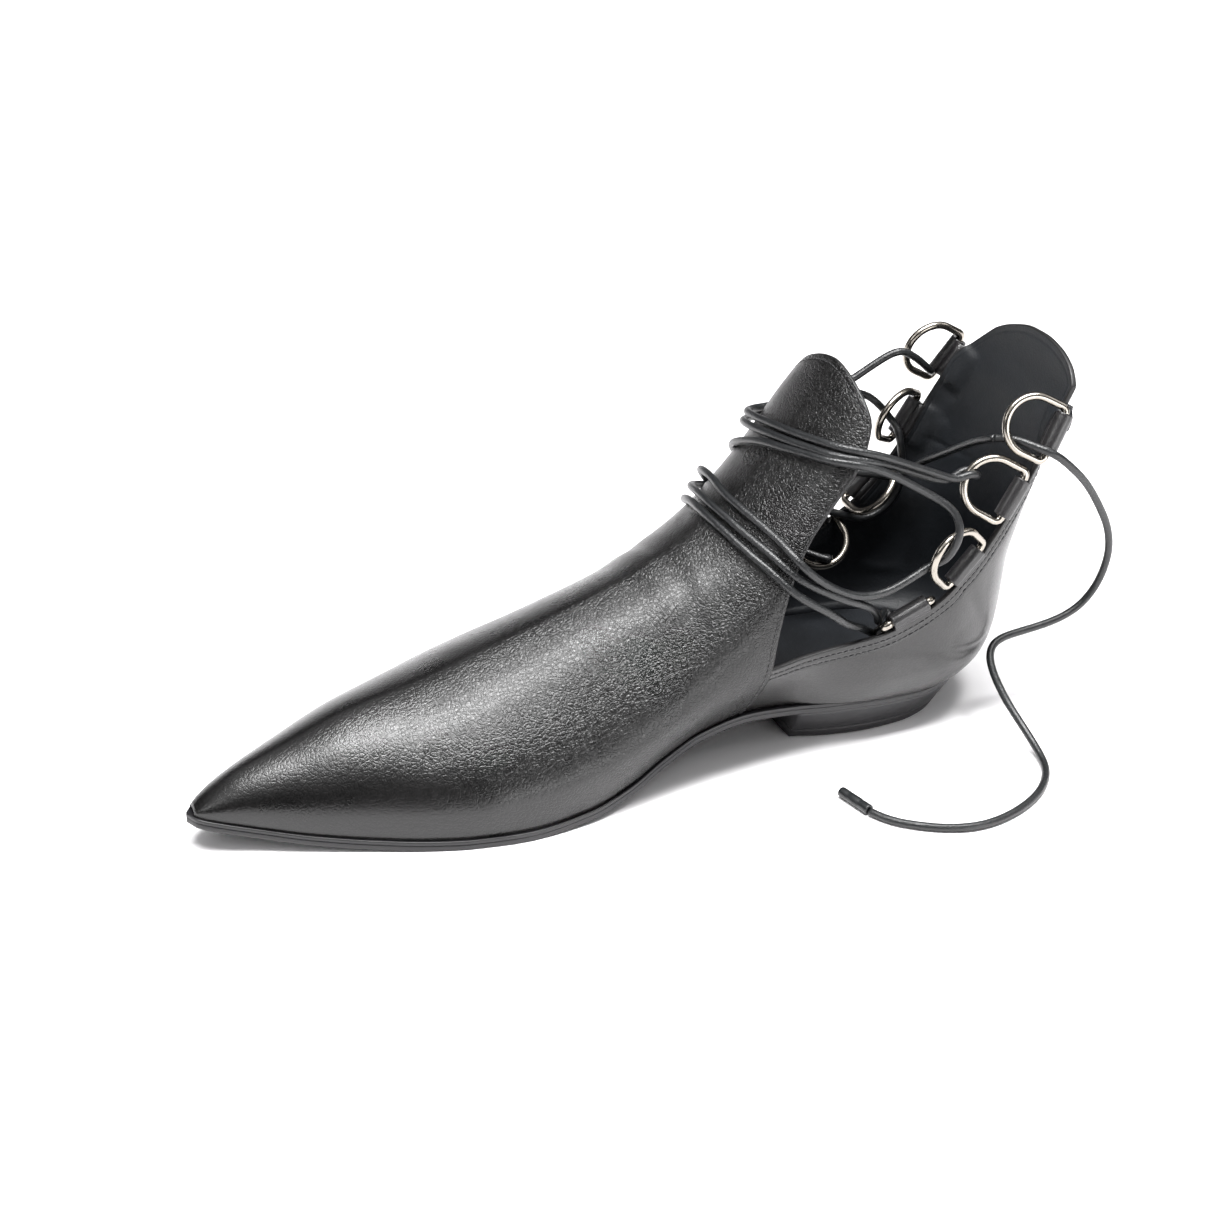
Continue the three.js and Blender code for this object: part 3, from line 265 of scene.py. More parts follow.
# its radius, and how far along it lies
aglet_profile = [
    (1.1, 0.0), (1.45, 0.0), (1.62, 0.12), (1.65, 0.4), (1.65, 3.2), (1.58, 3.5), (1.58, 4.1),
    (1.65, 4.4), (1.65, 8.2), (1.6, 8.5), (1.6, 9.0), (1.65, 9.3), (1.66, 12.0), (1.62, 12.35),
    (1.48, 12.5), (1.3, 12.42), (1.2, 12.2), (1.15, 11.2), (0.8, 11.05), (0.0, 11.0),
]
tip = Vector(shifted[-1]) + AGLET_WAY * 0.3
tip.z = AGLET / 2 + 0.05
FACETS = 40
points = []
across = AGLET_WAY.cross(Vector((0, 0, 1))).normalized()
for r, along_it in aglet_profile:
    for k in range(FACETS):
        angle = 2 * math.pi * k / FACETS
        dent = 1 - 0.02 * math.cos(3 * angle) * (1 if 3 < along_it < 9.5 else 0)
        off = across * math.cos(angle) + Vector((0, 0, 1)) * math.sin(angle)
        points.append(tip + AGLET_WAY * along_it + off * r * dent)


def around(rings, size, start=0):
    """Quads between rings of points that follow one another."""
    quads = []
    for here in range(start, start + (rings - 1) * size, size):
        for k in range(size):
            m = (k + 1) % size
            quads.append((here + k, here + m, here + size + m, here + size + k))
    return quads


def closed_up(piece, merge=None, long_faces=True):
    """Merges doubled points if asked, turns the faces outward and drops points without a face."""
    work = bmesh.new()
    work.from_mesh(piece.data)
    if merge:
        bmesh.ops.remove_doubles(work, verts=work.verts, dist=merge)
    if not long_faces:
        bmesh.ops.triangulate(work, faces=[f for f in work.faces if len(f.verts) > 4])
    bmesh.ops.recalc_face_normals(work, faces=work.faces)
    bmesh.ops.delete(work, geom=[corner for corner in work.verts if not corner.link_faces], context="VERTS")
    work.to_mesh(piece.data)
    work.free()
    return piece


# Polyolefin tube, shrunk on by heat: black with a soft shine that fingers have dulled here and there.
plastic, tree, skin = finish("shrunk black plastic", Base_Color=tone("191b1c"), IOR=1.47, Coat_Weight=0.2)
place, grip = clouded(tree, skin, 1800.0, 3.0, 0.28, 0.46)
rough = node(tree, "ShaderNodeBump", [("Height", (grip, "Fac"))], in_Strength=0.25, in_Distance=0.00008)
tree.links.new(rough.outputs[0], skin.inputs["Normal"])
faces = around(len(aglet_profile), FACETS) + [list(range(FACETS))[::-1]]
aglet = closed_up(mesh_piece("aglet_tube", points, faces, [plastic]), 1e-6)
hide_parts("aglet")
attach(aglet, "root")

# Outsole: a thin black unit cut to the pointed last, with an arch and a little toe spring. Its edge is
# trimmed square, inked and burnished, with one fine groove along it.
SOLE_LENGTH, BALL_WIDTH, HEEL_HEIGHT, TOE_SPRING, SOLE_THICKNESS = 250, 84, 11.6, 8, 3.2
# at: share of SOLE_LENGTH; medial, lateral: shares of BALL_WIDTH; heel, toe: lift of the underside
OUTLINE = np.array([
    (-0.023, 0.000, 0.000, 0.76, 0), (-0.017, 0.100, 0.105, 0.77, 0), (0.000, 0.215, 0.220, 0.79, 0),
    (0.035, 0.297, 0.300, 0.83, 0), (0.080, 0.334, 0.336, 0.89, 0), (0.130, 0.343, 0.346, 0.95, 0),
    (0.190, 0.330, 0.352, 1.00, 0), (0.245, 0.300, 0.366, 1.02, 0), (0.310, 0.275, 0.390, 0.98, 0),
    (0.370, 0.292, 0.422, 0.82, 0), (0.430, 0.350, 0.458, 0.56, 0), (0.490, 0.428, 0.489, 0.28, 0),
    (0.550, 0.480, 0.502, 0.09, 0), (0.620, 0.498, 0.490, 0, 0), (0.690, 0.470, 0.440, 0, 0),
    (0.745, 0.421, 0.378, 0, 0.02), (0.805, 0.350, 0.296, 0, 0.10), (0.870, 0.271, 0.196, 0, 0.29),
    (0.930, 0.194, 0.092, 0, 0.59), (0.970, 0.146, 0.025, 0, 0.84), (0.990, 0.113, -0.012, 0, 0.96),
    (1.000, 0.062, -0.058, 0, 1),
])


def column(table, index):
    """A smooth monotone reading of one column of a table, at values of its first column."""
    rows = table[np.argsort(table[:, 0])]
    k, v = rows[:, 0], rows[:, index]
    slope = np.diff(v) / np.diff(k)
    tangent = np.concatenate([slope[:1], np.zeros(len(k) - 2), slope[-1:]])
    same = slope[:-1] * slope[1:] > 0
    tangent[1:-1][same] = 2 * slope[:-1][same] * slope[1:][same] / (slope[:-1][same] + slope[1:][same])

    def read(at):
        at = np.clip(np.asarray(at, float), k[0], k[-1])
        i = np.clip(np.searchsorted(k, at, "right") - 1, 0, len(k) - 2)
        h = k[i + 1] - k[i]
        t = (at - k[i]) / h
        return ((2 * t**3 - 3 * t**2 + 1) * v[i] + (t**3 - 2 * t**2 + t) * h * tangent[i]
                + (3 * t**2 - 2 * t**3) * v[i + 1] + (t**3 - t**2) * h * tangent[i + 1])
    return read


outline_medial, outline_lateral, heel_lift, toe_lift = (column(OUTLINE, i) for i in (1, 2, 3, 4))


def sole_plan(x, side):
    return BALL_WIDTH * np.where(side > 0, outline_medial(x / SOLE_LENGTH),
                                 outline_lateral(x / SOLE_LENGTH))


def sole_under(x):
    return HEEL_HEIGHT * heel_lift(x / SOLE_LENGTH) + TOE_SPRING * toe_lift(x / SOLE_LENGTH)


def sole_top(x):
    return sole_under(x) + SOLE_THICKNESS


def plate(name, low, high, inset, ends, profile, materials):
    """A sole-shaped plate. profile: (draw in mm, share of the height) down its edge."""
    count = 260
    paced_out = 0.5 - 0.5 * np.cos(np.pi * np.arange(count + 1) / count)
    points = []
    for x in SOLE_LENGTH * (ends[0] + (ends[1] - ends[0]) * paced_out):
        medial = max(0.4, float(sole_plan(x, 1)) - inset)
        lateral = max(0.4 - (medial if x > 0.9 * SOLE_LENGTH else 0), float(sole_plan(x, -1)) - inset)
        middle, half = (medial - lateral) / 2, (medial + lateral) / 2
        bottom, height = float(low(x)), float(high(x) - low(x))
        inner = [max(0.03, half * f) for f in (0.66, 0.33)]
        edge = [(max(0.05, half - draw), share * height) for draw, share in profile]
        half_ring = edge + [(i, 0) for i in inner]
        ring = half_ring + [(-i, z) for i, z in half_ring[::-1]]
        ring += [(-i, height) for i in inner] + [(i, height) for i in inner[::-1]]
        points += [(x - HEEL_BACK, middle + i, bottom + z) for i, z in ring]
    size = len(points) // (count + 1)
    faces = around(count + 1, size) + [list(range(size))[::-1], list(range(count * size, len(points)))]
    return closed_up(mesh_piece(name, points, faces, materials))


# Moulded and inked sole compound: near black, an even satin, with faint scuffs under it.
sole_finish, tree, skin = finish("inked sole compound", IOR=1.5, Coat_Weight=0.12, Coat_Roughness=0.35)
place, cloud = clouded(tree, skin, 160.0, 5.0, 0.36, 0.5, ("100f11", "1d1c1f"))
fine = node(tree, "ShaderNodeTexNoise", [("Vector", (place, "Object"))], in_Scale=1500.0, in_Detail=3.0)
bumps = node(tree, "ShaderNodeBump", [("Height", (fine, "Fac"))], in_Strength=0.2, in_Distance=0.0001)
tree.links.new(bumps.outputs[0], skin.inputs["Normal"])

SOLE_EDGE = [
    (0.55, 1.0), (0.22, 0.985), (0.05, 0.94), (0.0, 0.86), (0.0, 0.70), (0.06, 0.655), (0.2, 0.62),
    (0.2, 0.585), (0.06, 0.55), (0.0, 0.51), (0.0, 0.18), (0.06, 0.07), (0.2, 0.015), (0.5, 0.0),
]
SEAT_BACK = -0.0225     # share of SOLE_LENGTH, where the heel seat ends behind
outsole = plate("outsole_unit", sole_under, sole_top, 0, (SEAT_BACK, 0.9995), SOLE_EDGE, [sole_finish])
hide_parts("outsole")
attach(outsole, "root")

# Heel block: a low block of stacked lifts with a rubber top piece under it, nailed to the seat. It is inked
# like the sole and drawn in towards the floor, most of all at its breast.
HEEL_LENGTH, HEEL_INSET = 60, 2.8
# share of the height, and how far the wall is drawn in: rounded rims and the groove over the top piece
HEEL_LEVELS = [
    (0.0, 0.7), (0.012, 0.32), (0.035, 0.08), (0.07, 0.0), (0.25, 0.0), (0.272, 0.12), (0.295, 0.2),
    (0.32, 0.12), (0.345, 0.0), (0.6, 0.0), (0.9, 0.0), (0.97, 0.05), (1.0, 0.3),
]
HEEL_STEPS = 72
seat_back = SEAT_BACK * SOLE_LENGTH
t = 1 - np.cos(np.pi / 2 * np.arange(HEEL_STEPS + 1) / HEEL_STEPS)
points = []
for share, draw in HEEL_LEVELS:
    half_ring = []
    for side in (1, -1):
        pull = 0.4 + HEEL_INSET * (1 - share) * (1 + t**3)
        half = np.maximum(0.4, sole_plan(seat_back + (HEEL_LENGTH - seat_back) * t, side) - pull - draw)
        x = seat_back * share + draw + (HEEL_LENGTH - seat_back * share - 2 * draw) * t
        z = share * (sole_under(x) - 0.05)
        half_ring.append(np.stack([x - HEEL_BACK, side * half, z], 1))
    points += list(half_ring[0][::-1]) + list(half_ring[1])
size = 2 * (HEEL_STEPS + 1)
faces = around(len(HEEL_LEVELS), size) + [list(range(size)), list(range(len(points) - size, len(points)))]
heel = closed_up(mesh_piece("heel_stack", points, faces, [sole_finish]), 1e-6, long_faces=False)
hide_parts("heel_block")
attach(heel, "root")

# Insole: a thin board inside the shell, covered with lining calf and glued down. The cover is rolled over
# its edge.
WALL, FEATHER_MARGIN, LAP = 1.8, 0.9, 0.8
# Lining calf: vegetable-tanned, dyed blue-black, plated smooth, so it has faint pores and a soft low sheen.
lining_finish, tree, skin = finish("blue-black lining calf", IOR=1.45, Coat_Weight=0.06, Coat_Roughness=0.4)
place, cloud = clouded(tree, skin, 90.0, 6.0, 0.44, 0.6, ("0c0e11", "1b1f24"))
LINING_PORE = 0.6
pores = node(tree, "ShaderNodeTexVoronoi", [("Vector", (place, "Object"))], in_Scale=1000 / LINING_PORE)
soft = node(tree, "ShaderNodeTexNoise", [("Vector", (place, "Object"))], in_Scale=420.0, in_Detail=4.0)
both = node(tree, "ShaderNodeMath", [(0, (pores, "Distance")), (1, (soft, "Fac"))], operation="ADD")
bumps = node(tree, "ShaderNodeBump", [("Height", (both, 0))], in_Strength=0.4, in_Distance=0.00012)
tree.links.new(bumps.outputs[0], skin.inputs["Normal"])

INSOLE_EDGE = [(0.6, 1.0), (0.2, 0.93), (0.02, 0.7), (0.0, 0.4), (0.0, 0.0)]
insole = plate("insole_sock", lambda x: sole_top(x) + 0.3, lambda x: sole_top(x) + 1.9,
               FEATHER_MARGIN + WALL + 1.1, (0.004, 0.968), INSOLE_EDGE, [lining_finish])
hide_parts("insole")
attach(insole, "root")

# Vamp with its front flap: one cut of fine-grained calf, lined, lasted over the toe. The flap stands up the
# instep. Its edges are turned in and stitched, and it laps over the quarter at both side seams.
INSTEP_HEIGHT, FLAP_HEIGHT, SHAFT_HEIGHT, ANKLE_WIDTH = 64, 118, 119, 65
# at: share of SOLE_LENGTH; low, high: the ridge; belly; medial, lateral: half-widths; ridge_y; full
VAMP = np.array([
    (0.135, 1, 1.18, 0.36, 0.345, 0.352, 0, 6.4), (0.178, 1, 0.948, 0.36, 0.362, 0.368, 0, 5.8),
    (0.230, 1, 0.625, 0.38, 0.382, 0.392, 0, 4.0), (0.265, 1, 0.43, 0.40, 0.395, 0.410, 0, 3.2),
    (0.300, 1, 0.262, 0.40, 0.402, 0.424, 0, 2.6), (0.332, 1, 0.14, 0.40, 0.408, 0.438, 0, 2.2),
    (0.364, 1, 0.056, 0.39, 0.414, 0.452, 0.005, 1.9), (0.394, 0.988, 0, 0.37, 0.424, 0.465, 0.01, 1.68),
    (0.436, 0.916, 0, 0.34, 0.440, 0.482, 0.015, 1.52), (0.516, 0.82, 0, 0.29, 0.478, 0.510, 0.025, 1.44),
    (0.584, 0.745, 0, 0.27, 0.498, 0.508, 0.032, 1.44), (0.656, 0.67, 0, 0.27, 0.489, 0.472, 0.04, 1.48),
    (0.712, 0.61, 0, 0.27, 0.450, 0.416, 0.045, 1.54), (0.804, 0.532, 0, 0.27, 0.348, 0.296, 0.05, 1.66),
    (0.876, 0.43, 0, 0.28, 0.259, 0.185, 0.055, 1.8), (0.939, 0.337, 0, 0.30, 0.178, 0.074, 0.058, 2.0),
    (0.966, 0.277, 0, 0.33, 0.144, 0.030, 0.06, 2.2), (0.984, 0.23, 0, 0.36, 0.114, -0.008, 0.06, 2.4),
    (0.993, 0.199, 0, 0.40, 0.090, -0.032, 0.06, 2.6),
])
vamp_low, vamp_high, vamp_belly, vamp_medial, vamp_lateral, vamp_ridge_y, vamp_full = (
    column(VAMP, i) for i in range(1, 8))


def ridge(x):
    low, high = vamp_low(x / SOLE_LENGTH), vamp_high(x / SOLE_LENGTH)
    return INSTEP_HEIGHT * low + (FLAP_HEIGHT - INSTEP_HEIGHT) * high


def lean(line, x):
    return np.hypot(1, np.clip(line(x + 0.5) - line(x - 0.5), -1.6, 1.6))


def vamp_half(x, z, side, inset=0.0):
    """Half-width of the vamp's surface at station x and height z."""
    def widest(u):
        return BALL_WIDTH * np.where(side > 0, vamp_medial(u / SOLE_LENGTH), vamp_lateral(u / SOLE_LENGTH))

    def plan(u):
        return sole_plan(u, side) - FEATHER_MARGIN
    top_at = ridge(x) - inset * lean(ridge, x)
    bottom = sole_top(x)
    crest = side * BALL_WIDTH * vamp_ridge_y(x / SOLE_LENGTH)
    feather = np.minimum(plan(x), widest(x)) - inset * lean(plan, x)
    wide = widest(x) - inset * lean(widest, x)
    share = vamp_belly(x / SOLE_LENGTH)
    h = np.clip((z - bottom) / (top_at - bottom), 0, 1)
    k = np.clip((h - share) / (1 - share), 0, 1)
    below = feather + (wide - feather) * np.sin(np.pi / 2 * np.minimum(h / share, 1))
    above = crest + (wide - crest) * np.maximum(0, 1 - k ** vamp_full(x / SOLE_LENGTH)) ** 0.66
    return np.where(h < share, below, above)


# at: share of SOLE_LENGTH; height: share of SHAFT_HEIGHT
FLAP_EDGE = np.array([
    (0.322, 0.050), (0.315, 0.135), (0.308, 0.183), (0.304, 0.232), (0.301, 0.262), (0.299, 0.300),
    (0.296, 0.360), (0.288, 0.440), (0.275, 0.520), (0.256, 0.600), (0.231, 0.675), (0.204, 0.745),
    (0.183, 0.812), (0.170, 0.868), (0.164, 0.915), (0.165, 0.970),
])
flap_edge_x = column(FLAP_EDGE[:, ::-1], 1)
FEATHER_LIFT = 0.12


def normals_of(grid):
    """Unit normals of a grid of points, rows by columns."""
    rows, columns = np.gradient(grid, axis=0), np.gradient(grid, axis=1)
    n = np.cross(rows, columns)
    return n / np.maximum(np.linalg.norm(n, axis=2), 1e-9)[:, :, None]


def pressed(points, creases):
    """How far soft creases lift each point. Each crease: its line, half-width, height (minus: a trough)."""
    lift = np.zeros(points.shape[:-1])
    for line, width, height in creases:
        line = smooth_path(line, 1.0)
        best = np.full(points.shape[:-1], 1e9)
        place = np.zeros(points.shape[:-1])
        for i in range(len(line) - 1):
            a, ab = line[i], line[i + 1] - line[i]
            t = np.clip(((points - a) @ ab) / (ab @ ab), 0, 1)
            d = np.linalg.norm(points - a - t[..., None] * ab, axis=-1)
            closer = d < best
            best = np.where(closer, d, best)
            place = np.where(closer, (i + t) / (len(line) - 1), place)
        lift += height * np.exp(-(best / width) ** 2) * np.sin(np.pi * np.clip(place, 0, 1)) ** 0.7
    return lift


def shell(name, outer, normal, wall, quads, rim, hems, materials):
    """A lined wall from points, normals and thickness. rim: its turned edge; hems: its hidden borders."""
    count = len(outer)
    points = np.concatenate([outer, outer - normal * wall[:, None]])
    faces = [tuple(q) for q in quads] + [tuple(i + count for i in q[::-1]) for q in quads]
    kinds = [0] * len(quads) + [1] * len(quads)
    middles = np.zeros((count, 4))
    for quad in quads:
        middles[list(quad)] += np.append(outer[list(quad)].mean(0), 1)
    here, n, thick = outer[rim], normal[rim], wall[rim][:, None]
    out = np.cross(np.gradient(here, axis=0), n)
    out /= np.linalg.norm(out, axis=1)[:, None]
    inside = middles[rim, :3] / middles[rim, 3:]
    out *= np.sign(np.sum(out * (here - inside)))
    bulge = 0.45
    rings = [list(rim)]
    for angle, under in ((30, 0), (60, 0), (90, 0), (90, 1), (60, 1), (30, 1)):
        t = math.radians(angle)
        drop = thick - bulge * (1 - math.cos(t)) if under else bulge * (1 - math.cos(t))
        rings.append(list(range(len(points), len(points) + len(rim))))
        points = np.concatenate([points, here + out * bulge * math.sin(t) - n * drop])
    rings.append([i + count for i in rim])
    for low_ring, high_ring in zip(rings, rings[1:]):
        for k in range(len(rim) - 1):
            faces.append((low_ring[k], low_ring[k + 1], high_ring[k + 1], high_ring[k]))
            kinds.append(2)
    for hem in hems:
        for i, j in zip(hem, hem[1:]):
            faces.append((i, j, j + count, i + count))
            kinds.append(1)
    for k in (0, -1):
        faces.append([ring[k] for ring in rings])
        kinds.append(1)
    piece = mesh_piece(name, points, faces, materials)
    piece.data.polygons.foreach_set("material_index", kinds)
    return closed_up(piece, 2e-6)


def grid_quads(index):
    return np.stack([index[:-1, :-1], index[:-1, 1:], index[1:, 1:], index[1:, :-1]],
                    -1).reshape(-1, 4).tolist()


# Chrome-tanned calf with its own grain: small domed cells about a millimetre wide, drawn a little coarser
# than life so that they show, under a thin black finish. Lasting has stretched them flatter at the toe.
def calf(name, cell, depth, dark, light, rough_low, rough_high, coat):
    made, tree, skin = finish(name, IOR=1.5, Coat_Weight=coat, Coat_Roughness=0.22)
    place = node(tree, "ShaderNodeTexCoord")
    wander = node(tree, "ShaderNodeTexNoise", [("Vector", (place, "Object"))], in_Scale=420.0, in_Detail=4.0)
    bent = node(tree, "ShaderNodeVectorMath", [(0, (wander, "Color"))], operation="SCALE", in_Scale=0.0012)
    moved = node(tree, "ShaderNodeVectorMath", [(0, (place, "Object")), (1, (bent, 0))], operation="ADD")
    large = node(tree, "ShaderNodeTexVoronoi", [("Vector", (moved, 0))], in_Scale=1000 / cell,
                 feature="DISTANCE_TO_EDGE")
    small = node(tree, "ShaderNodeTexVoronoi", [("Vector", (moved, 0))], in_Scale=2100 / cell,
                 feature="DISTANCE_TO_EDGE")
    domes = node(tree, "ShaderNodeMapRange", [("Value", (large, "Distance"))], in_From_Max=0.22,
                 interpolation_type="SMOOTHSTEP")
    pebbles = node(tree, "ShaderNodeMapRange", [("Value", (small, "Distance"))], in_From_Max=0.2,
                   interpolation_type="SMOOTHSTEP")
    broad = node(tree, "ShaderNodeTexNoise", [("Vector", (place, "Object"))], in_Scale=55.0, in_Detail=4.0)
    grain = node(tree, "ShaderNodeMath", [(0, (pebbles, 0)), (2, (domes, 0))], operation="MULTIPLY_ADD")
    grain.inputs[1].default_value = 0.45
    apart = node(tree, "ShaderNodeSeparateXYZ", [("Vector", (place, "Object"))])
    stretched = node(tree, "ShaderNodeMapRange", [("Value", (apart, "X"))], in_From_Min=0.08,
                     in_From_Max=0.19, in_To_Min=depth, in_To_Max=depth * 0.35)
    bumps = node(tree, "ShaderNodeBump", [("Height", (grain, 0)), ("Strength", (stretched, 0))],
                 in_Distance=0.00022)
    tree.links.new(bumps.outputs[0], skin.inputs["Normal"])
    # The colour is painted shade in the cracks between the grain cells: darker there and lighter on the cell
    # tops. It also drifts at random over the piece.
    drift_and_crack_shade = node(tree, "ShaderNodeMath", [(0, (broad, "Fac")), (1, (domes, 0))], operation="MULTIPLY")
    shade = node(tree, "ShaderNodeValToRGB", [("Fac", (drift_and_crack_shade, 0))])
    shade.color_ramp.elements[0].color = tone(dark)
    shade.color_ramp.elements[1].color = tone(light)
    shade.color_ramp.elements[1].position = 0.6
    tree.links.new(shade.outputs[0], skin.inputs["Base Color"])
    gloss = node(tree, "ShaderNodeMapRange", [("Value", (broad, "Fac"))], in_From_Min=0.3, in_From_Max=0.7,
                 in_To_Min=rough_low, in_To_Max=rough_high)
    tree.links.new(gloss.outputs[0], skin.inputs["Roughness"])
    return made


vamp_calf = calf("grained vamp calf", 1.35, 0.5, "040404", "0d0c0c", 0.25, 0.32, 0.12)
quarter_calf = calf("smooth quarter calf", 1.0, 0.22, "0e0d0d", "1a1919", 0.28, 0.37, 0.38)
# The turned edges are inked by hand, which leaves them duller than the finished face.
edge_finish, tree, skin = finish("inked turned edge", Base_Color=tone("131213"), IOR=1.5)
clouded(tree, skin, 900.0, 2.0, 0.38, 0.55)

# Heights run from the lateral feather over the ridge to the medial feather, closer near the ridge.
HALF_COLUMNS, VAMP_ROWS, VAMP_TIP = 46, 200, 0.9925
up = 1 - (1 - np.arange(HALF_COLUMNS + 1) / HALF_COLUMNS) ** 1.7
height_share = np.concatenate([up, up[-2::-1]])
side_of = np.concatenate([-np.ones(HALF_COLUMNS), [1], np.ones(HALF_COLUMNS)])
run = np.arange(VAMP_ROWS + 1) / VAMP_ROWS
row_share = 0.35 * run + 0.65 * run ** 1.9
row_share = row_share * 0.55 + 0.45 * (1 - (1 - row_share) ** 1.5)
share, h = np.meshgrid(row_share, height_share, indexing="ij")
low_x, high_x = np.full(share.shape, 30.0), np.full(share.shape, VAMP_TIP * SOLE_LENGTH + 0.01)


def vamp_z(x):
    return sole_top(x) + FEATHER_LIFT + h * (ridge(x) - sole_top(x) - FEATHER_LIFT)


for _ in range(36):
    middle = (low_x + high_x) / 2
    wanted = flap_edge_x(vamp_z(middle) / SHAFT_HEIGHT) * SOLE_LENGTH
    wanted = wanted + (VAMP_TIP * SOLE_LENGTH - wanted) * share
    before = middle < wanted
    low_x, high_x = np.where(before, middle, low_x), np.where(before, high_x, middle)
x, z = low_x, vamp_z(low_x)
side = np.broadcast_to(side_of, x.shape)
y = side * vamp_half(x, z, side)
y[:, HALF_COLUMNS] = BALL_WIDTH * vamp_ridge_y(x[:, HALF_COLUMNS] / SOLE_LENGTH)
vamp_grid = np.stack([x, y, z], 2)
vamp_normal = normals_of(vamp_grid)
if vamp_normal[100, HALF_COLUMNS, 2] < 0:
    vamp_normal = -vamp_normal
# Soft wrinkles pressed in: across the toe and the tread line, and up the flap beside the lace.
VAMP_CREASES = [
    ([(182.9, 24.4, 28.8), (182.9, 26.9, 26.8), (183.0, 29.5, 24.3)], 0.9, -0.28),
    ([(179.7, 24.9, 29.4), (179.5, 27.7, 27.2), (179.6, 29.7, 25.3)], 0.9, -0.24),
    ([(140.6, 24.5, 38.9), (135.2, 34.7, 29.6), (131.0, 40.3, 16.2)], 3.2, -0.30),
    ([(132.6, 24.5, 40.5), (127.1, 34.4, 31.0), (123.5, 39.3, 19.0)], 3.0, -0.26),
    ([(50.3, 1.1, 107.4), (52.6, 3.9, 103.8)], 0.8, -0.30),
    ([(49.0, 3.7, 108.8), (51.6, 7.0, 104.4)], 0.8, -0.34),
    ([(47.7, 6.0, 110.0), (49.4, 8.1, 107.1), (50.8, 10.6, 104.3)], 0.8, -0.36),
    ([(46.8, 9.3, 110.2), (49.5, 13.0, 105.1)], 0.8, -0.34),
    ([(45.8, 12.4, 110.3), (48.5, 15.7, 105.0)], 0.8, -0.30),
    ([(68.1, 9.6, 83.0), (62.1, 13.9, 88.0), (56.1, 20.0, 91.8)], 1.0, -0.26),
    ([(70.0, 11.7, 80.1), (63.3, 16.5, 85.3), (56.4, 22.9, 89.0)], 1.0, -0.28),
    ([(70.7, 15.3, 77.6), (63.1, 20.4, 82.9), (57.9, 24.2, 85.7)], 1.0, -0.28),
    ([(69.8, 20.0, 75.5), (62.7, 23.9, 80.2), (59.4, 25.4, 82.4)], 1.0, -0.24),
    ([(88.0, 8.0, 69.0), (80.0, 18.0, 68.0), (74.0, 27.0, 62.0)], 2.6, -0.35),
    ([(88.0, -8.0, 69.0), (80.0, -18.0, 68.0), (74.0, -27.0, 62.0)], 2.6, -0.35),
]
wall = np.full(x.shape, float(WALL))
wall[-3:] = np.minimum(wall[-3:], np.array([1.2, 0.8, 0.4])[:, None])
middle_line = BALL_WIDTH * vamp_ridge_y(x[:, 0] / SOLE_LENGTH)
lift = pressed(vamp_grid, VAMP_CREASES)
lift[:, :2] = lift[:, -2:] = 0
for k in (0, -1):
    vamp_normal[:, k, 2] = 0
    vamp_normal[:, k] /= np.maximum(np.linalg.norm(vamp_normal[:, k], axis=1), 1e-9)[:, None]
    wall[:, k] = np.minimum(5.0, 0.5 * np.abs(y[:, k] - middle_line) + 0.2)
VAMP_STITCH = 1.8       # from the flap's edge to its row of stitches, which lie in a shallow groove
edge_gap = np.cumsum(np.linalg.norm(np.diff(vamp_grid, axis=0, prepend=vamp_grid[:1]), axis=2), axis=0)
lift = lift - 0.24 * np.exp(-((edge_gap - VAMP_STITCH) / 0.36) ** 2)
lift = lift - 0.10 * np.exp(-((edge_gap - 0.1) / 0.5) ** 2)
vamp_skin = vamp_grid + vamp_normal * lift[..., None]
shift = np.array([HEEL_BACK, 0, 0])
index = np.arange(x.size).reshape(x.shape)
hems = (index[:, 0], index[-1], index[:, -1])
vamp = shell("vamp_and_flap", vamp_skin.reshape(-1, 3) - shift, vamp_normal.reshape(-1, 3), wall.reshape(-1),
             grid_quads(index), index[0], hems, [vamp_calf, lining_finish, edge_finish])
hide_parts("upper")
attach(vamp, "root")

# Quarter and back shaft: one smooth calf wall round the heel, low at the sides and tall at the back. It is
# lined like the vamp. Its topline is turned in over the lining and stitched twice.
# height: share of SHAFT_HEIGHT; back, widest: shares of SOLE_LENGTH; wide: share of ANKLE_WIDTH
QUARTER = np.array([
    (0.095, -0.020, 0.430, 0.110), (0.108, -0.034, 0.450, 0.110), (0.130, -0.050, 0.480, 0.110),
    (0.160, -0.063, 0.502, 0.110), (0.202, -0.072, 0.518, 0.110), (0.270, -0.078, 0.526, 0.106),
    (0.353, -0.081, 0.522, 0.095), (0.437, -0.082, 0.512, 0.070), (0.538, -0.085, 0.506, 0.025),
    (0.672, -0.094, 0.503, -0.018), (0.798, -0.102, 0.502, -0.056), (0.866, -0.110, 0.502, -0.080),
    (0.924, -0.117, 0.500, -0.096), (1.040, -0.127, 0.480, -0.106),
])
quarter_back, quarter_wide, quarter_widest = (column(QUARTER, i) for i in (1, 2, 3))
QUARTER_FRONT = 0.36 * SOLE_LENGTH
TOPLINE_BACK = -27.6            # where the topline ends behind
EDGE_BEND = 46.5                # the height at which its low part turns up into the shaft
JOIN_FROM, JOIN_TO = 32, 66     # where the round of the heel passes into the vamp's own section


def back_line(z, inset=0.0):
    return SOLE_LENGTH * quarter_back(z / SHAFT_HEIGHT) + inset


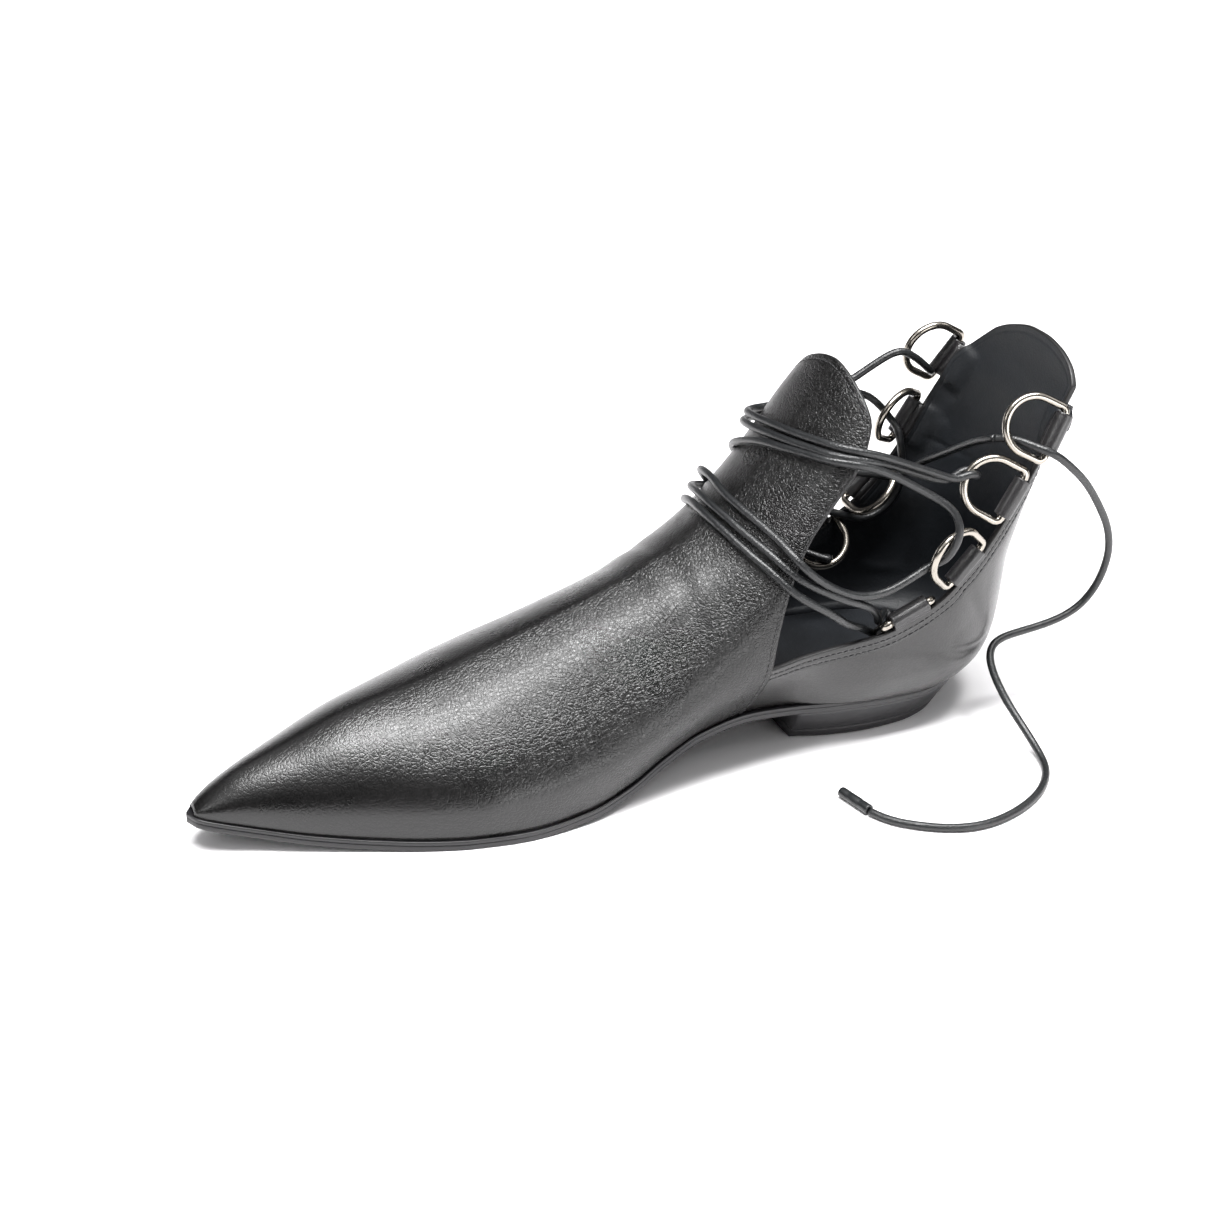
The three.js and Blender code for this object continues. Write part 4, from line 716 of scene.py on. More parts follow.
def quarter_half(x, z, side, inset=0.0):
    """Half-width of the quarter's surface at station x and height z."""
    back = back_line(z, inset)
    widest = SOLE_LENGTH * quarter_widest(z / SHAFT_HEIGHT)
    half = ANKLE_WIDTH * quarter_wide(z / SHAFT_HEIGHT) - inset
    k = np.clip((widest - x) / (widest - back), 0, 1)
    rounded = half * np.maximum(0, 1 - k ** 2.6) ** (1 / 2.1)
    t = np.clip((x - JOIN_FROM) / (JOIN_TO - JOIN_FROM), 0, 1)
    t = t * t * (3 - 2 * t)
    return rounded + (vamp_half(np.maximum(x, JOIN_FROM), z, side, inset + LAP) - rounded) * t


# TOPLINE: shares of SOLE_LENGTH and of SHAFT_HEIGHT; TOP_EDGE: shares of ANKLE_WIDTH and of SHAFT_HEIGHT
TOPLINE = np.array([
    (0.360, 0.288), (0.350, 0.288), (0.300, 0.289), (0.250, 0.298), (0.200, 0.312), (0.150, 0.331),
    (0.108, 0.357), (0.072, 0.392), (0.042, 0.437), (0.016, 0.492), (-0.006, 0.556), (-0.026, 0.620),
    (-0.044, 0.682), (-0.064, 0.752), (-0.082, 0.814), (-0.097, 0.864), (-0.107, 0.915),
    (-0.110, 0.960),
])
TOP_EDGE = np.array([
    (0.60, 0.770), (0.500, 0.864), (0.475, 0.900), (0.425, 0.938), (0.345, 0.967), (0.235, 0.985),
    (0.100, 0.993), (-0.030, 0.989), (-0.150, 0.971), (-0.260, 0.943), (-0.350, 0.897),
    (-0.430, 0.845), (-0.60, 0.700),
])
topline_z, top_edge_z = column(TOPLINE, 1), column(TOP_EDGE, 1)


def turn_at(x, z):
    """Where x lies round the level section: 0 rearmost, 1 widest, 2 at the front."""
    back, widest = back_line(z), SOLE_LENGTH * quarter_widest(z / SHAFT_HEIGHT)
    behind = np.arccos(np.clip(1 - (x - back) / (widest - back), -1, 1)) * 2 / np.pi
    return np.where(x > widest, 1 + (x - widest) / (QUARTER_FRONT - widest), behind)


def x_at(turn, z):
    turn = np.abs(turn)
    back, widest = back_line(z), SOLE_LENGTH * quarter_widest(z / SHAFT_HEIGHT)
    behind = back + (widest - back) * (1 - np.cos(np.pi / 2 * turn))
    return np.where(turn > 1, widest + (QUARTER_FRONT - widest) * (turn - 1), behind)


def topline_and_top(side):
    """The cut edge on one side as turn and z: the topline from the front, then the top to the middle."""
    x = np.linspace(QUARTER_FRONT, TOPLINE_BACK, 900)
    z = SHAFT_HEIGHT * topline_z(x / SOLE_LENGTH)
    y = side * quarter_half(x, z, side)
    stop = int(np.argmin(z < SHAFT_HEIGHT * top_edge_z(y / ANKLE_WIDTH)))
    lower = np.stack([turn_at(x, z), z], 1)[:stop]
    y = np.linspace(y[stop - 1], 0, 300)
    z = SHAFT_HEIGHT * top_edge_z(y / ANKLE_WIDTH)
    half = ANKLE_WIDTH * quarter_wide(z / SHAFT_HEIGHT)
    back, widest = back_line(z), SOLE_LENGTH * quarter_widest(z / SHAFT_HEIGHT)
    k = np.maximum(0, 1 - (np.abs(y) / half) ** 2.1) ** (1 / 2.6)
    upper = np.stack([turn_at(widest - k * (widest - back), z), z], 1)
    upper[0] = lower[-1]
    return lower, upper


def quarter_point(turn, z, side):
    x = x_at(turn, z)
    return np.stack([x, side * quarter_half(x, z, side), z], -1)


def paced(line, side, shares):
    """Places along a line of turn and z, at shares of its real length on the wall."""
    run = np.linalg.norm(np.diff(quarter_point(line[:, 0], line[:, 1], side), axis=0), axis=1)
    run = np.concatenate([[0], np.cumsum(run)])
    return np.stack([np.interp(np.asarray(shares) * run[-1], run, line[:, i]) for i in (0, 1)], -1)


# Each side is a grid from the feather and the back's middle line to the topline; both share the middle line.
LENGTHWISE, UPWARD, CORNER = 230, 62, 0.5
t = np.arange(LENGTHWISE + 1) / LENGTHWISE
u = 0.45 * t + 0.55 * (1 - (1 - t) ** 2)
t = np.arange(UPWARD + 1) / UPWARD
v = (0.3 * t + 0.7 * (1 - (1 - t) ** 2))[None, :, None]
first_back = int(np.argmax(u >= CORNER))
u = u + (CORNER - u[first_back]) * np.minimum(u / u[first_back], (1 - u) / (1 - u[first_back]))


def quarter_side(side):
    lower, upper = topline_and_top(side)
    bend = int(np.argmax(lower[:, 1] > EDGE_BEND))
    on_edge = np.concatenate([paced(lower[:bend + 1], side, u[:first_back] / CORNER),
                              paced(lower[bend:], side, (u[first_back:] - CORNER) / (1 - CORNER))])
    turn = np.interp(u[:first_back], [0, 0.33, CORNER], [2, 1, 0])
    z = np.full(turn.shape, 13.0)
    for _ in range(12):
        z = sole_top(x_at(turn, z)) + FEATHER_LIFT
    low_back = float(sole_top(x_at(0.0, 12.0)) + FEATHER_LIFT)
    middle_top = upper[-1, 1]
    rise = low_back + (middle_top - low_back) * (u[first_back:] - CORNER) / (1 - CORNER)
    on_sole = np.concatenate([np.stack([turn, z], 1), np.stack([0 * rise, rise], 1)])
    plan = on_sole[:, None] * (1 - v) + on_edge[:, None] * v
    across = paced(upper[::-1], side, v[0, :, 0])
    straight = upper[-1] * (1 - v[0]) + upper[0] * v[0]
    share = np.clip((u - 0.6) / 0.4, 0, 1)
    share = (share * share * (3 - 2 * share))[:, None, None]
    plan = plan + share * (across - straight)[None]
    grid = quarter_point(plan[..., 0], plan[..., 1], side)
    grid[first_back:, 0, 1] = 0
    normal = normals_of(grid)
    if normal[LENGTHWISE // 4, UPWARD // 2, 1] * side < 0:
        normal = -normal
    normal[first_back:, 0, 1] = 0
    normal /= np.linalg.norm(normal, axis=2)[..., None]
    return grid, normal


def border_distance(points, line):
    """How far each point lies from the cut edge."""
    best = np.full(points.shape[:-1], 1e9)
    for a, b in zip(line, line[1:]):
        t = np.clip(((points - a) @ (b - a)) / max((b - a) @ (b - a), 1e-9), 0, 1)
        best = np.minimum(best, np.linalg.norm(points - a - t[..., None] * (b - a), axis=-1))
    return best


sides = {side: quarter_side(side) for side in (1, -1)}
QUARTER_CREASES = [
    ([(10.0, 33.2, 54.0), (8.0, 32.8, 50.1), (4.9, 32.2, 45.8), (1.0, 30.8, 39.2), (-3.1, 28.4, 30.9)],
     2.4, -0.55),
    ([(14.5, 33.4, 50.0), (11.0, 33.2, 43.5), (6.5, 32.4, 36.0)], 3.2, 0.35),
    ([(12.4, 33.3, 29.4), (6.5, 31.7, 26.1), (1.1, 29.6, 25.0), (-4.3, 26.6, 24.5), (-9.0, 22.0, 26.0)],
     1.7, -0.60),
    ([(10.0, 33.0, 33.0), (4.0, 31.2, 30.0), (-2.0, 28.0, 29.0)], 2.6, 0.35),
    ([(62.2, 28.5, 26.8), (58.9, 26.9, 20.8), (57.1, 25.5, 15.2)], 3.0, -0.25),
    ([(10.0, -33.2, 54.0), (4.9, -32.2, 45.8), (-1.0, -29.8, 36.2)], 2.6, -0.45),
    ([(12.4, -33.3, 29.4), (4.0, -31.0, 26.0), (-6.0, -25.0, 26.0)], 1.9, -0.45),
]
# The lining swells softly over the tails of the ring tabs, which are sewn in between it and the leather.
RINGS = [
    ("medial_1", 1, 0.1080, 0, (0.15, 0.72, -0.68)), ("medial_2", 1, 0.0270, 0, (0.73, -0.28, 0.62)),
    ("medial_3", 1, -0.0340, 0, (0.84, 0.34, 0.38)), ("medial_4", 1, -0.0814, 0.8, (0.91, 0.29, 0.26)),
    ("lateral_1", -1, 0.1080, 0, (0.15, 0.72, -0.68)),
    ("lateral_2", -1, 0.0270, 0, (0.19, 0.97, -0.12)),
    ("lateral_3", -1, -0.0334, 0.4, (0.66, 0.48, 0.57)),
    ("lateral_4", -1, -0.0820, 0.6, (0.80, 0.08, 0.54)),
]
TAB_LENGTH, TAB_BORE, TAB_WALL = 13.1, 3.1, 1.25
TAB_OUTER = TAB_BORE / 2 + TAB_WALL
TAB_STANDOFF = TAB_OUTER + 0.6
TAB_DEPTH = 0.5
STITCH_LINES = (1.7, 3.7)


def edge_point(x, side, inset):
    """A place on the cut edge of the quarter, as the drawing's straight steps give it."""
    rows = TOPLINE[1:][::-1] * (SOLE_LENGTH, SHAFT_HEIGHT)
    z = float(np.interp(x, rows[:, 0], rows[:, 1]))
    return np.array([x, side * float(quarter_half(x, z, side, inset)), z])


def unit(v):
    return v / np.linalg.norm(v)


# Each ring's bar: its centre and direction, the ways out of and past the wall, and how the bow hangs.
bars = {}
for name, side, at, slip, (forward, inward, rise) in RINGS:
    x, step = at * SOLE_LENGTH, TAB_LENGTH / 10
    edge = edge_point(x, side, TAB_DEPTH)
    along = unit(edge_point(x + step, side, TAB_DEPTH) - edge_point(x - step, side, TAB_DEPTH))
    halves = [quarter_half(x + i * step, edge[2] + k * step, side, TAB_DEPTH)
              for i, k in ((1, 0), (-1, 0), (0, 1), (0, -1))]
    slope_x, slope_z = (halves[0] - halves[1]) / (2 * step), (halves[2] - halves[3]) / (2 * step)
    out = unit(np.array([-float(slope_x), side, -float(slope_z)]))
    past = unit(np.cross(along, out))
    if past[0] + past[2] < 0:
        past = -past
    centre = edge + past * TAB_STANDOFF
    bow = np.array([forward, -side * inward, rise])
    bow = unit(bow - along * np.dot(bow, along))
    face = unit(np.cross(along, bow))
    if face[1] * side < 0:
        face = -face
    bars[name] = dict(side=side, along=along, out=out, past=past, centre=centre, bow=bow, face=face,
                      slip=slip)

LINING_CREASES = [
    ([(-4.8, -29.8, 73.0), (-11.6, -26.4, 71.9), (-15.6, -21.4, 70.4), (-19.4, -9.5, 70.0)], 0.9, -0.35),
    ([(-16.6, -27.3, 90.1), (-18.1, -24.6, 87.7), (-19.2, -22.2, 86.8)], 2.0, -0.5),
    ([(-12.8, -27.4, 80.7), (-15.2, -25.2, 79.5), (-17.3, -22.9, 80.2)], 2.0, -0.5),
]
parts, inset_lines = [], {}
for side, (grid, normal) in sides.items():
    swell = np.zeros(grid.shape[:2])
    for bar in bars.values():
        if bar["side"] == side:
            rel = grid - bar["centre"]
            a, p = rel @ bar["along"], rel @ bar["past"]
            near = (np.abs(rel @ bar["out"]) < 10) / (1 + np.exp((np.abs(a) - 7.2) / 0.7))
            swell = np.maximum(swell, near / (1 + np.exp((-p - 10.5) / 1.0)))
    cut_edge = np.concatenate([grid[:, -1], grid[-1, -2::-1]])
    from_edge = border_distance(grid, cut_edge)
    lift = pressed(grid, [c for c in QUARTER_CREASES if c[0][0][1] * side > 0])
    wall = WALL + 1.4 * swell
    wall = wall + pressed(grid - normal * WALL, [c for c in LINING_CREASES if c[0][0][1] * side > 0])
    smooth_lift = lift.copy()
    for line_at in STITCH_LINES:
        lift = lift - 0.20 * np.exp(-((from_edge - line_at) / 0.34) ** 2)
    lift = lift - 0.08 * np.exp(-((from_edge - 0.1) / 0.5) ** 2)
    wall = wall + lift - smooth_lift - 0.14 * np.exp(-((from_edge - STITCH_LINES[0]) / 0.36) ** 2)
    wall[:, -1] = WALL + 1.4 * swell[:, -1]
    wall[-1] = WALL + 1.4 * swell[-1]
    turned_in = normal.copy()
    turned_in[:first_back, 0, 2] = 0
    turned_in /= np.linalg.norm(turned_in, axis=2)[..., None]
    wall[:first_back, 0] = 5.0
    skin_grid = grid + normal * lift[..., None]
    normal = turned_in
    parts.append((skin_grid, normal, wall))
    inward = np.cross(np.gradient(cut_edge, axis=0), np.concatenate([normal[:, -1], normal[-1, -2::-1]]))
    inward /= np.linalg.norm(inward, axis=1)[:, None]
    inward *= np.sign(np.sum(inward[:LENGTHWISE] * (grid[:LENGTHWISE, -4] - grid[:LENGTHWISE, -1])))
    for line_at in STITCH_LINES:
        spots = cut_edge + inward * line_at
        inner_line = []
        for spot in spots[border_distance(spots, cut_edge) > line_at - 0.08]:
            nearest = np.argmin(np.linalg.norm(skin_grid - spot, axis=2))
            ground, up_there = skin_grid.reshape(-1, 3)[nearest], normal.reshape(-1, 3)[nearest]
            inner_line.append(spot - up_there * np.dot(spot - ground, up_there) + up_there * 0.03)
        inset_lines[side, line_at] = inner_line
block = parts[0][2].size
index = {side: np.arange(start, start + block).reshape(parts[0][2].shape)
         for side, start in ((1, 0), (-1, block))}
index[-1][first_back:, 0] = index[1][first_back:, 0]
rim = np.concatenate([index[1][:, -1], index[1][-1, -2::-1], index[-1][-1, 1:], index[-1][-2::-1, -1]])
hems = [index[side][0, :] for side in (1, -1)] + [index[side][:first_back + 1, 0] for side in (1, -1)]
outer, normal, wall = (np.concatenate([p[i].reshape(-1, *p[i].shape[2:]) for p in parts]) for i in range(3))
quads = grid_quads(index[1]) + grid_quads(index[-1])
quarter = shell("quarter_and_shaft", outer - shift, normal, wall, quads, rim, hems,
                [quarter_calf, lining_finish, edge_finish])
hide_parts("upper")
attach(quarter, "root")


# Stitching: waxed polyester thread, black, sewn by machine through leather and lining. It lies flush in its
# groove, in two rows along the topline and one round the flap's edge.
def line_inside(skin, normal, distance):
    """Points on a wall a distance in from its first row, lifted a hair off the leather."""
    depth = np.cumsum(np.linalg.norm(np.diff(skin, axis=0, prepend=skin[:1]), axis=2), axis=0)
    points = []
    for k in range(skin.shape[1]):
        at = [np.interp(distance, depth[:, k], skin[:, k, i]) for i in range(3)]
        points.append(np.array(at) + normal[0, k] * 0.02)
    return np.array(points)


def stitches(name, lines, pitch, thread, material):
    """Short lengths of thread at a pitch along lines, by a node set that repeats one stitch."""
    curve = bpy.data.curves.new(name + "_lines", "CURVE")
    curve.dimensions = "3D"
    for line in lines:
        spline = curve.splines.new("POLY")
        spline.points.add(len(line) - 1)
        for point, place in zip(spline.points, line):
            point.co = (*(float(c) * MM for c in place), 1)
    drawn = bpy.data.objects.new(name + "_lines", curve)
    bpy.context.scene.collection.objects.link(drawn)
    tree = bpy.data.node_groups.new(name + "_repeat", "GeometryNodeTree")
    tree.interface.new_socket("Seam lines", in_out="INPUT", socket_type="NodeSocketGeometry")
    for label, value in (("Stitch pitch", pitch), ("Thread thickness", thread)):
        tree.interface.new_socket(label, in_out="INPUT",
                                  socket_type="NodeSocketFloat").default_value = value * MM
    tree.interface.new_socket("Stitches", in_out="OUTPUT", socket_type="NodeSocketGeometry")
    given = node(tree, "NodeGroupInput")
    spaced = node(tree, "GeometryNodeResampleCurve", [("Curve", (given, 0)), ("Length", (given, 1))],
                  mode="LENGTH")
    ball = node(tree, "GeometryNodeMeshIcoSphere", in_Radius=0.5, in_Subdivisions=2)
    long = node(tree, "ShaderNodeMath", [(0, (given, 1))], operation="MULTIPLY")
    long.inputs[1].default_value = 0.84
    size = node(tree, "ShaderNodeCombineXYZ", [("X", (given, 2)), ("Y", (given, 2)), ("Z", (long, 0))])
    way = node(tree, "GeometryNodeInputTangent")
    turned = node(tree, "FunctionNodeAlignRotationToVector", [("Vector", (way, 0))], axis="Z")
    laid = node(tree, "GeometryNodeInstanceOnPoints", [("Points", (spaced, 0)), ("Instance", (ball, 0)),
                                                     ("Rotation", (turned, 0)), ("Scale", (size, 0))])
    real = node(tree, "GeometryNodeRealizeInstances", [("Geometry", (laid, 0))])
    coloured = node(tree, "GeometryNodeSetMaterial", [("Geometry", (real, 0))], in_Material=material)
    node(tree, "NodeGroupOutput", [("Stitches", (coloured, 0))])
    drawn.modifiers.new("repeat", "NODES").node_group = tree
    shown = drawn.evaluated_get(bpy.context.evaluated_depsgraph_get())
    mesh = bpy.data.meshes.new_from_object(shown)
    bpy.data.objects.remove(drawn)
    if not mesh.materials:
        mesh.materials.append(material)
    mesh.polygons.foreach_set("use_smooth", [True] * len(mesh.polygons))
    piece = bpy.data.objects.new(name, mesh)
    bpy.context.scene.collection.objects.link(piece)
    return piece


# Bonded polyester under wax: a soft shine with a trace of fibre.
thread, tree, skin = finish("black waxed thread", Base_Color=tone("1f1f21"), IOR=1.5, Sheen_Weight=0.1)
clouded(tree, skin, 2500.0, 2.0, 0.4, 0.6)
STITCH_PITCH, THREAD = 2.0, 0.42
quarter_lines = [np.array(inset_lines[1, d] + inset_lines[-1, d][::-1])[8:-8] - shift for d in STITCH_LINES]
vamp_lines = [line_inside(vamp_skin, vamp_normal, VAMP_STITCH)[3:-3] - shift]
for name, lines in (("topline_stitching", quarter_lines), ("vamp_edge_stitching", vamp_lines)):
    sewn = stitches(name, lines, STITCH_PITCH, THREAD, thread)
    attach(sewn, "root")

# Ring tabs: eight straps of glossy calf. Each is rolled round a ring's bar, glued to itself along a seam on
# its outer side, and sewn in between the leather and the lining at the topline.
tab_finish = calf("rolled tab calf", 0.7, 0.25, "131214", "1f1d1e", 0.28, 0.38, 0.45)
# the rolled sleeve's radius and its place along the bar; its round steps and the angle of its seam
SLEEVE = [
    (2.42, -6.55), (2.66, -6.47), (2.78, -6.25), (2.8, -5.9), (2.76, -5.65), (2.8, -5.4), (2.8, -2.7),
    (2.8, 0.0), (2.8, 2.7), (2.8, 5.4), (2.76, 5.65), (2.8, 5.9), (2.78, 6.25), (2.66, 6.47),
    (2.42, 6.55), (1.85, 6.5), (1.6, 6.3), (1.56, 5.8), (1.56, -5.8), (1.6, -6.3), (1.85, -6.5),
]
SLEEVE_STEPS, SEAM_ANGLE = 48, 2.0
# the tail's section, past the edge and out of the wall, and its places along the bar
TAIL = [(-1.2, -1.9), (-2.6, -0.9), (-4.2, -0.75), (-8.0, -0.85), (-8.0, -2.0), (-4.2, -2.3),
        (-2.6, -2.75), (-0.6, -2.7)]
TAIL_PLACES = [-6.2, -6.0, -3.0, 0.0, 3.0, 6.0, 6.2]
TAIL_MIDDLE = -1.6
for name, bar in bars.items():
    points, faces = [], []
    for k in range(SLEEVE_STEPS):
        angle = 2 * math.pi * k / SLEEVE_STEPS
        seam = math.atan2(math.sin(angle - SEAM_ANGLE), math.cos(angle - SEAM_ANGLE))
        groove = 0.45 * math.exp(-(seam / 0.11) ** 2) - 0.12 * math.exp(-((seam - 0.3) / 0.2) ** 2)
        way = math.cos(angle) * bar["past"] + math.sin(angle) * bar["out"]
        for r, u in SLEEVE:
            deep = groove if r > 2.2 else 0
            points.append(bar["centre"] + bar["along"] * u + way * (r - deep))
    size = len(SLEEVE)
    for k in range(SLEEVE_STEPS):
        m = (k + 1) % SLEEVE_STEPS
        for i in range(size):
            j = (i + 1) % size
            faces.append((k * size + i, m * size + i, m * size + j, k * size + j))
    start, size = len(points), len(TAIL)
    for w in TAIL_PLACES:
        thin = 0.75 if abs(w) == TAIL_PLACES[-1] else 1.0
        for p, o in TAIL:
            off = bar["out"] * (TAIL_MIDDLE + (o - TAIL_MIDDLE) * thin)
            points.append(bar["centre"] + bar["along"] * w + bar["past"] * p + off)
    faces += around(len(TAIL_PLACES), size, start)
    faces += [list(range(start, start + size)), list(range(len(points) - size, len(points)))[::-1]]
    tab = closed_up(mesh_piece("tab_" + name + "_rolled", [p - shift for p in points], faces, [tab_finish]))
    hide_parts("tab_" + name)
    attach(tab, "root")

# D-rings: steel wire of 2.5 mm, bent to a D on a mandrel and plated gunmetal. The joint of its ends is
# hidden in the tab. The plating is bright, with soft wear that shows as a cloudy gloss.
metal, tree, skin = finish("gunmetal plate", Base_Color=tone("a59f96"), Metallic=1.0, Coat_Weight=0.15)
place, cloud = clouded(tree, skin, 700.0, 4.0, 0.16, 0.30)
rub = node(tree, "ShaderNodeBump", [("Height", (cloud, "Fac"))], in_Strength=0.08, in_Distance=0.0001)
tree.links.new(rub.outputs[0], skin.inputs["Normal"])
RING_WIRE, RING_WIDTH, RING_REACH, RING_CORNER = 2.5, 15.5, 16.4, 2
half = (RING_WIDTH + RING_WIRE) / 2
flat, straight = half - RING_CORNER, RING_REACH - half - RING_CORNER
corner = [(RING_CORNER * math.sin(math.pi / 2 * t), RING_CORNER - RING_CORNER * math.cos(math.pi / 2 * t))
          for t in np.arange(8) / 8]
bent = [(-flat + t * 2 * flat, 0) for t in np.arange(12) / 12] + [(flat + u, v) for u, v in corner]
bent += [(half, RING_CORNER + t * straight) for t in np.arange(5) / 5]
bent += [(half * math.cos(math.pi * t), RING_REACH - half + half * math.sin(math.pi * t))
         for t in np.arange(44) / 44]
bent += [(-half, RING_CORNER + (1 - t) * straight) for t in np.arange(5) / 5]
bent += [(v - half, RING_CORNER - u) for u, v in corner]
for name, bar in bars.items():
    path = [bar["centre"] + bar["along"] * (u + bar["slip"]) + bar["bow"] * v - shift for u, v in bent]
    ring = tube("ring_" + name + "_wire", [path], RING_WIRE / 2, 16, [metal], closed=True)
    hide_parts("ring_" + name)
    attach(ring, "root")


# Lace, laced stretch: the same cord, wound twice low and three times high over the front flap, and through
# the rings. Its hidden end lies outside the far uppermost ring.
def at_ring(name, a, o, off):
    bar = bars[name]
    return bar["centre"] + bar["along"] * (a + bar["slip"]) + bar["bow"] * o + bar["face"] * off


def on_flap(y, z, rest=LACE / 2 + 0.6):
    """A place of the lace on the front flap, from y and z."""
    side = 1 if y >= 0 else -1
    low, high = 35.0, 150.0
    while high - low > 0.01:
        middle = (low + high) / 2
        if vamp_half(middle, z, side) > abs(y):
            low = middle
        else:
            high = middle
    slope_x = vamp_half(low + 0.5, z, side) - vamp_half(low - 0.5, z, side)
    slope_z = vamp_half(low, z + 0.5, side) - vamp_half(low, z - 0.5, side)
    return np.array([low, y, z]) + unit(np.array([-float(slope_x), side, -float(slope_z)])) * rest


def flap(*places):
    return [on_flap(*p) for p in places]


upper_first = [
    at_ring("medial_3", -1, 16.4, 3.2), (13, 28.6, 86.6), (20, 28.4, 89.8), (28, 27.6, 93.2),
    (39, 27.9, 98.6),
    *flap((22.4, 99.9, 3.2), (15.8, 99.9), (7.6, 99.1), (-2.6, 97.7), (-10, 95.9, 2.4),
          (-19, 93.2, 3.6), (-26, 90.6, 4.4)),
    (46, -33, 90.5), (32, -31.5, 91.5), (20, -30.5, 94.5), (11.5, -29.5, 99.6), (5.2, -28.5, 103.6),
    (1.9, -27.6, 105.1), (-1.5, -27.4, 103.5), (-6.7, -27.4, 99.6), (-10, -27.4, 96.4),
    (-12.3, -29.6, 94.4), (-13.6, -32.2, 93.4),
]
upper_second = [
    at_ring("medial_3", -1, 16.4, -3.2), (13, 24.6, 84.4), (20, 26.4, 87.2), (28, 26.2, 90.8),
    (39, 28.2, 96.4), (45, 28.0, 98.0),
    *flap((22.4, 97.5, 3.6), (15.8, 97.5), (7.6, 96.7), (-2.6, 95.2), (-10, 93.3, 2.4),
          (-19, 90.7, 3.4), (-27, 87.6, 3.6)),
    (47, -34, 87.4), (32, -32.5, 89.5), (20, -31.5, 92.0), (10.5, -31.2, 89.2), (5.1, -29.8, 84.3),
    (1.6, -30.4, 80), (-0.2, -28.6, 77.2), (-0.2, -26.6, 75.4), (-0.2, -26.0, 73.2),
    (-2.2, -26.6, 66.5), (-2.0, -26.0, 57.8), (1.5, -26.2, 51.0), (5.4, -27.6, 46.8),
    (10.2, -28, 45.6), (16, -28, 47.8), (23, -28.4, 51), (34, -31, 55), (48, -35, 59.5),
    *flap((-30.5, 66, 3.2), (-22, 70, 3.0), (-12, 73.2, 2.4), (-1.2, 74.8), (7, 74.4), (14.4, 72.8),
          (24.3, 69.8)),
    (68.8, 33.2, 66.4), (60.3, 35.5, 61.0), (50.4, 35.5, 55.4), (42, 33, 50.7), (37, 29.6, 45.2),
    (34.6, 26.0, 40.2), at_ring("medial_1", 1, 16.4, -4),
]
lower_third = [
    (38.4, 26.2, 38.0), (42.4, 29.6, 41.8), (49.6, 33.2, 46.0), (55.8, 36, 52.0), (63.7, 36.2, 57.6),
    (69.6, 34.6, 61.6),
    *flap((27, 65.6), (20.5, 68.4), (12.3, 71.0), (4, 72.4), (-5, 72.2), (-14, 70.4), (-23, 67),
          (-31, 61.6)),
    (60, -38, 54.6), (51, -36.5, 49), (43.4, -32, 43.6), (38.4, -27.0, 39.2),
]
lower_first = [
    at_ring("lateral_1", 1, 16.4, -4), (35.6, -26.2, 40.8), (42, -32, 46.4), (52, -36.5, 53.4),
    (60, -38.4, 60.6),
    *flap((-30, 69.5, 4.2), (-22, 74.6, 4.2), (-12, 77.6, 2.6), (-2.5, 78.2), (5, 78.0), (12.8, 76.8),
          (24.3, 73.2)),
    (67.6, 34.4, 70.8), (61.5, 35.5, 64.6), (57, 35.5, 61.5), (50.9, 35, 57.5), (45.0, 35.4, 55.8),
    (37.4, 35.4, 56.0), (30.2, 34.1, 58.0), at_ring("medial_2", 10.6, 12.3, -3.0),
    at_ring("medial_2", 7.6, 11.4, -2.7),
]
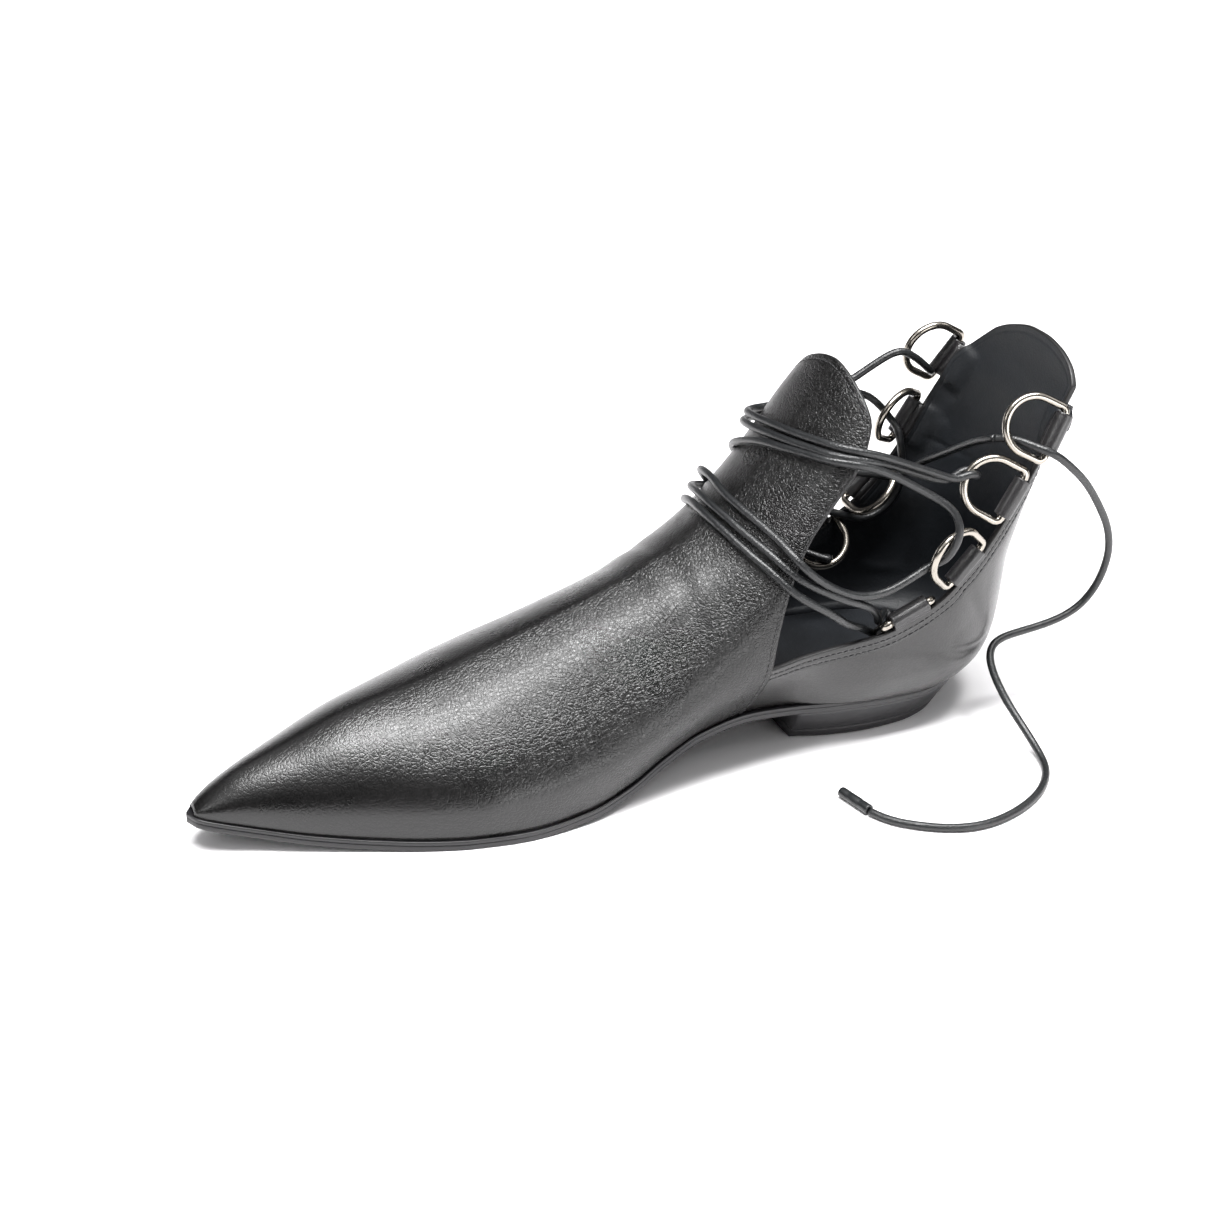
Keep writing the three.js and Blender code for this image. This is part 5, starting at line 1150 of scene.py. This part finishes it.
upper_last = [
    at_ring("medial_2", -1, 15.3, 2.5), at_ring("medial_2", -4.9, 17.9, 2.8), (16.6, 37.6, 79.3),
    (18.9, 34.6, 82.2), (22.6, 32.6, 84.4), (29.1, 30.6, 88.2), (33.1, 30, 91), (39.3, 29.2, 94.4),
    (46.9, 28.4, 97.4),
    *flap((21.6, 95.9, 3.4), (14.3, 95.7), (6.3, 94.5), (-3.4, 92.6), (-13, 88.8), (-22, 84.2),
          (-29, 79.0)),
    (54, -35, 74), (40, -33, 68.4), (27, -30, 65.5), (15.6, -27.6, 64.1), (7.2, -26.6, 62.0),
    (3.2, -26, 60.6), (-0.4, -25, 60.8), (-3.2, -23, 63.4), (-4.6, -19.8, 67.6), (-4.4, -12, 72.7),
    (-3.8, 0, 80.9), (-3.3, 12, 89), (-2.9, 19, 93), (-2.9, 22.6, 94.7), FREE_END[0],
]
turn_high = [at_ring("medial_3", -1, 13.9, 1.6), at_ring("medial_3", -1, 13.5, 0),
             at_ring("medial_3", -1, 13.9, -1.6)]
turn_low_medial = [at_ring("medial_1", 1.6, 13.9, -2.2), at_ring("medial_1", 3.4, 13.2, 0.2),
                   at_ring("medial_1", 6, 14.8, 3.0)]
turn_low_lateral = [at_ring("lateral_1", 6, 14.8, 3.0), at_ring("lateral_1", 3.4, 13.2, 0.2),
                    at_ring("lateral_1", 1.6, 13.9, -2.2)]
turn_middle = [at_ring("medial_2", 5.2, 11.2, -1.2), at_ring("medial_2", 3.5, 12.0, 0.4),
               at_ring("medial_2", 1.3, 13.4, 1.7)]
whole = (upper_first[::-1] + turn_high + upper_second + turn_low_medial + lower_third + turn_low_lateral
         + lower_first + turn_middle + upper_last)
wound = smooth_path(whole, 0.7)
bows = [bar["centre"] + bar["bow"] * 12 for bar in bars.values()]
from_bow = np.min([np.linalg.norm(wound - bow, axis=1) for bow in bows], axis=0)
taut = np.clip((from_bow - 9) / 9, 0, 1)[:, None]
for _ in range(60):
    eased = (np.roll(wound, 1, 0) + wound + np.roll(wound, -1, 0)) / 3
    eased[[0, -1]] = wound[[0, -1]]
    wound = wound + (eased - wound) * (0.12 + 0.88 * taut)
laced = tube("lace_wound", [wound - shift], LACE / 2, 16, [cord_finish])
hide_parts("lace_wraps")
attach(laced, "root")
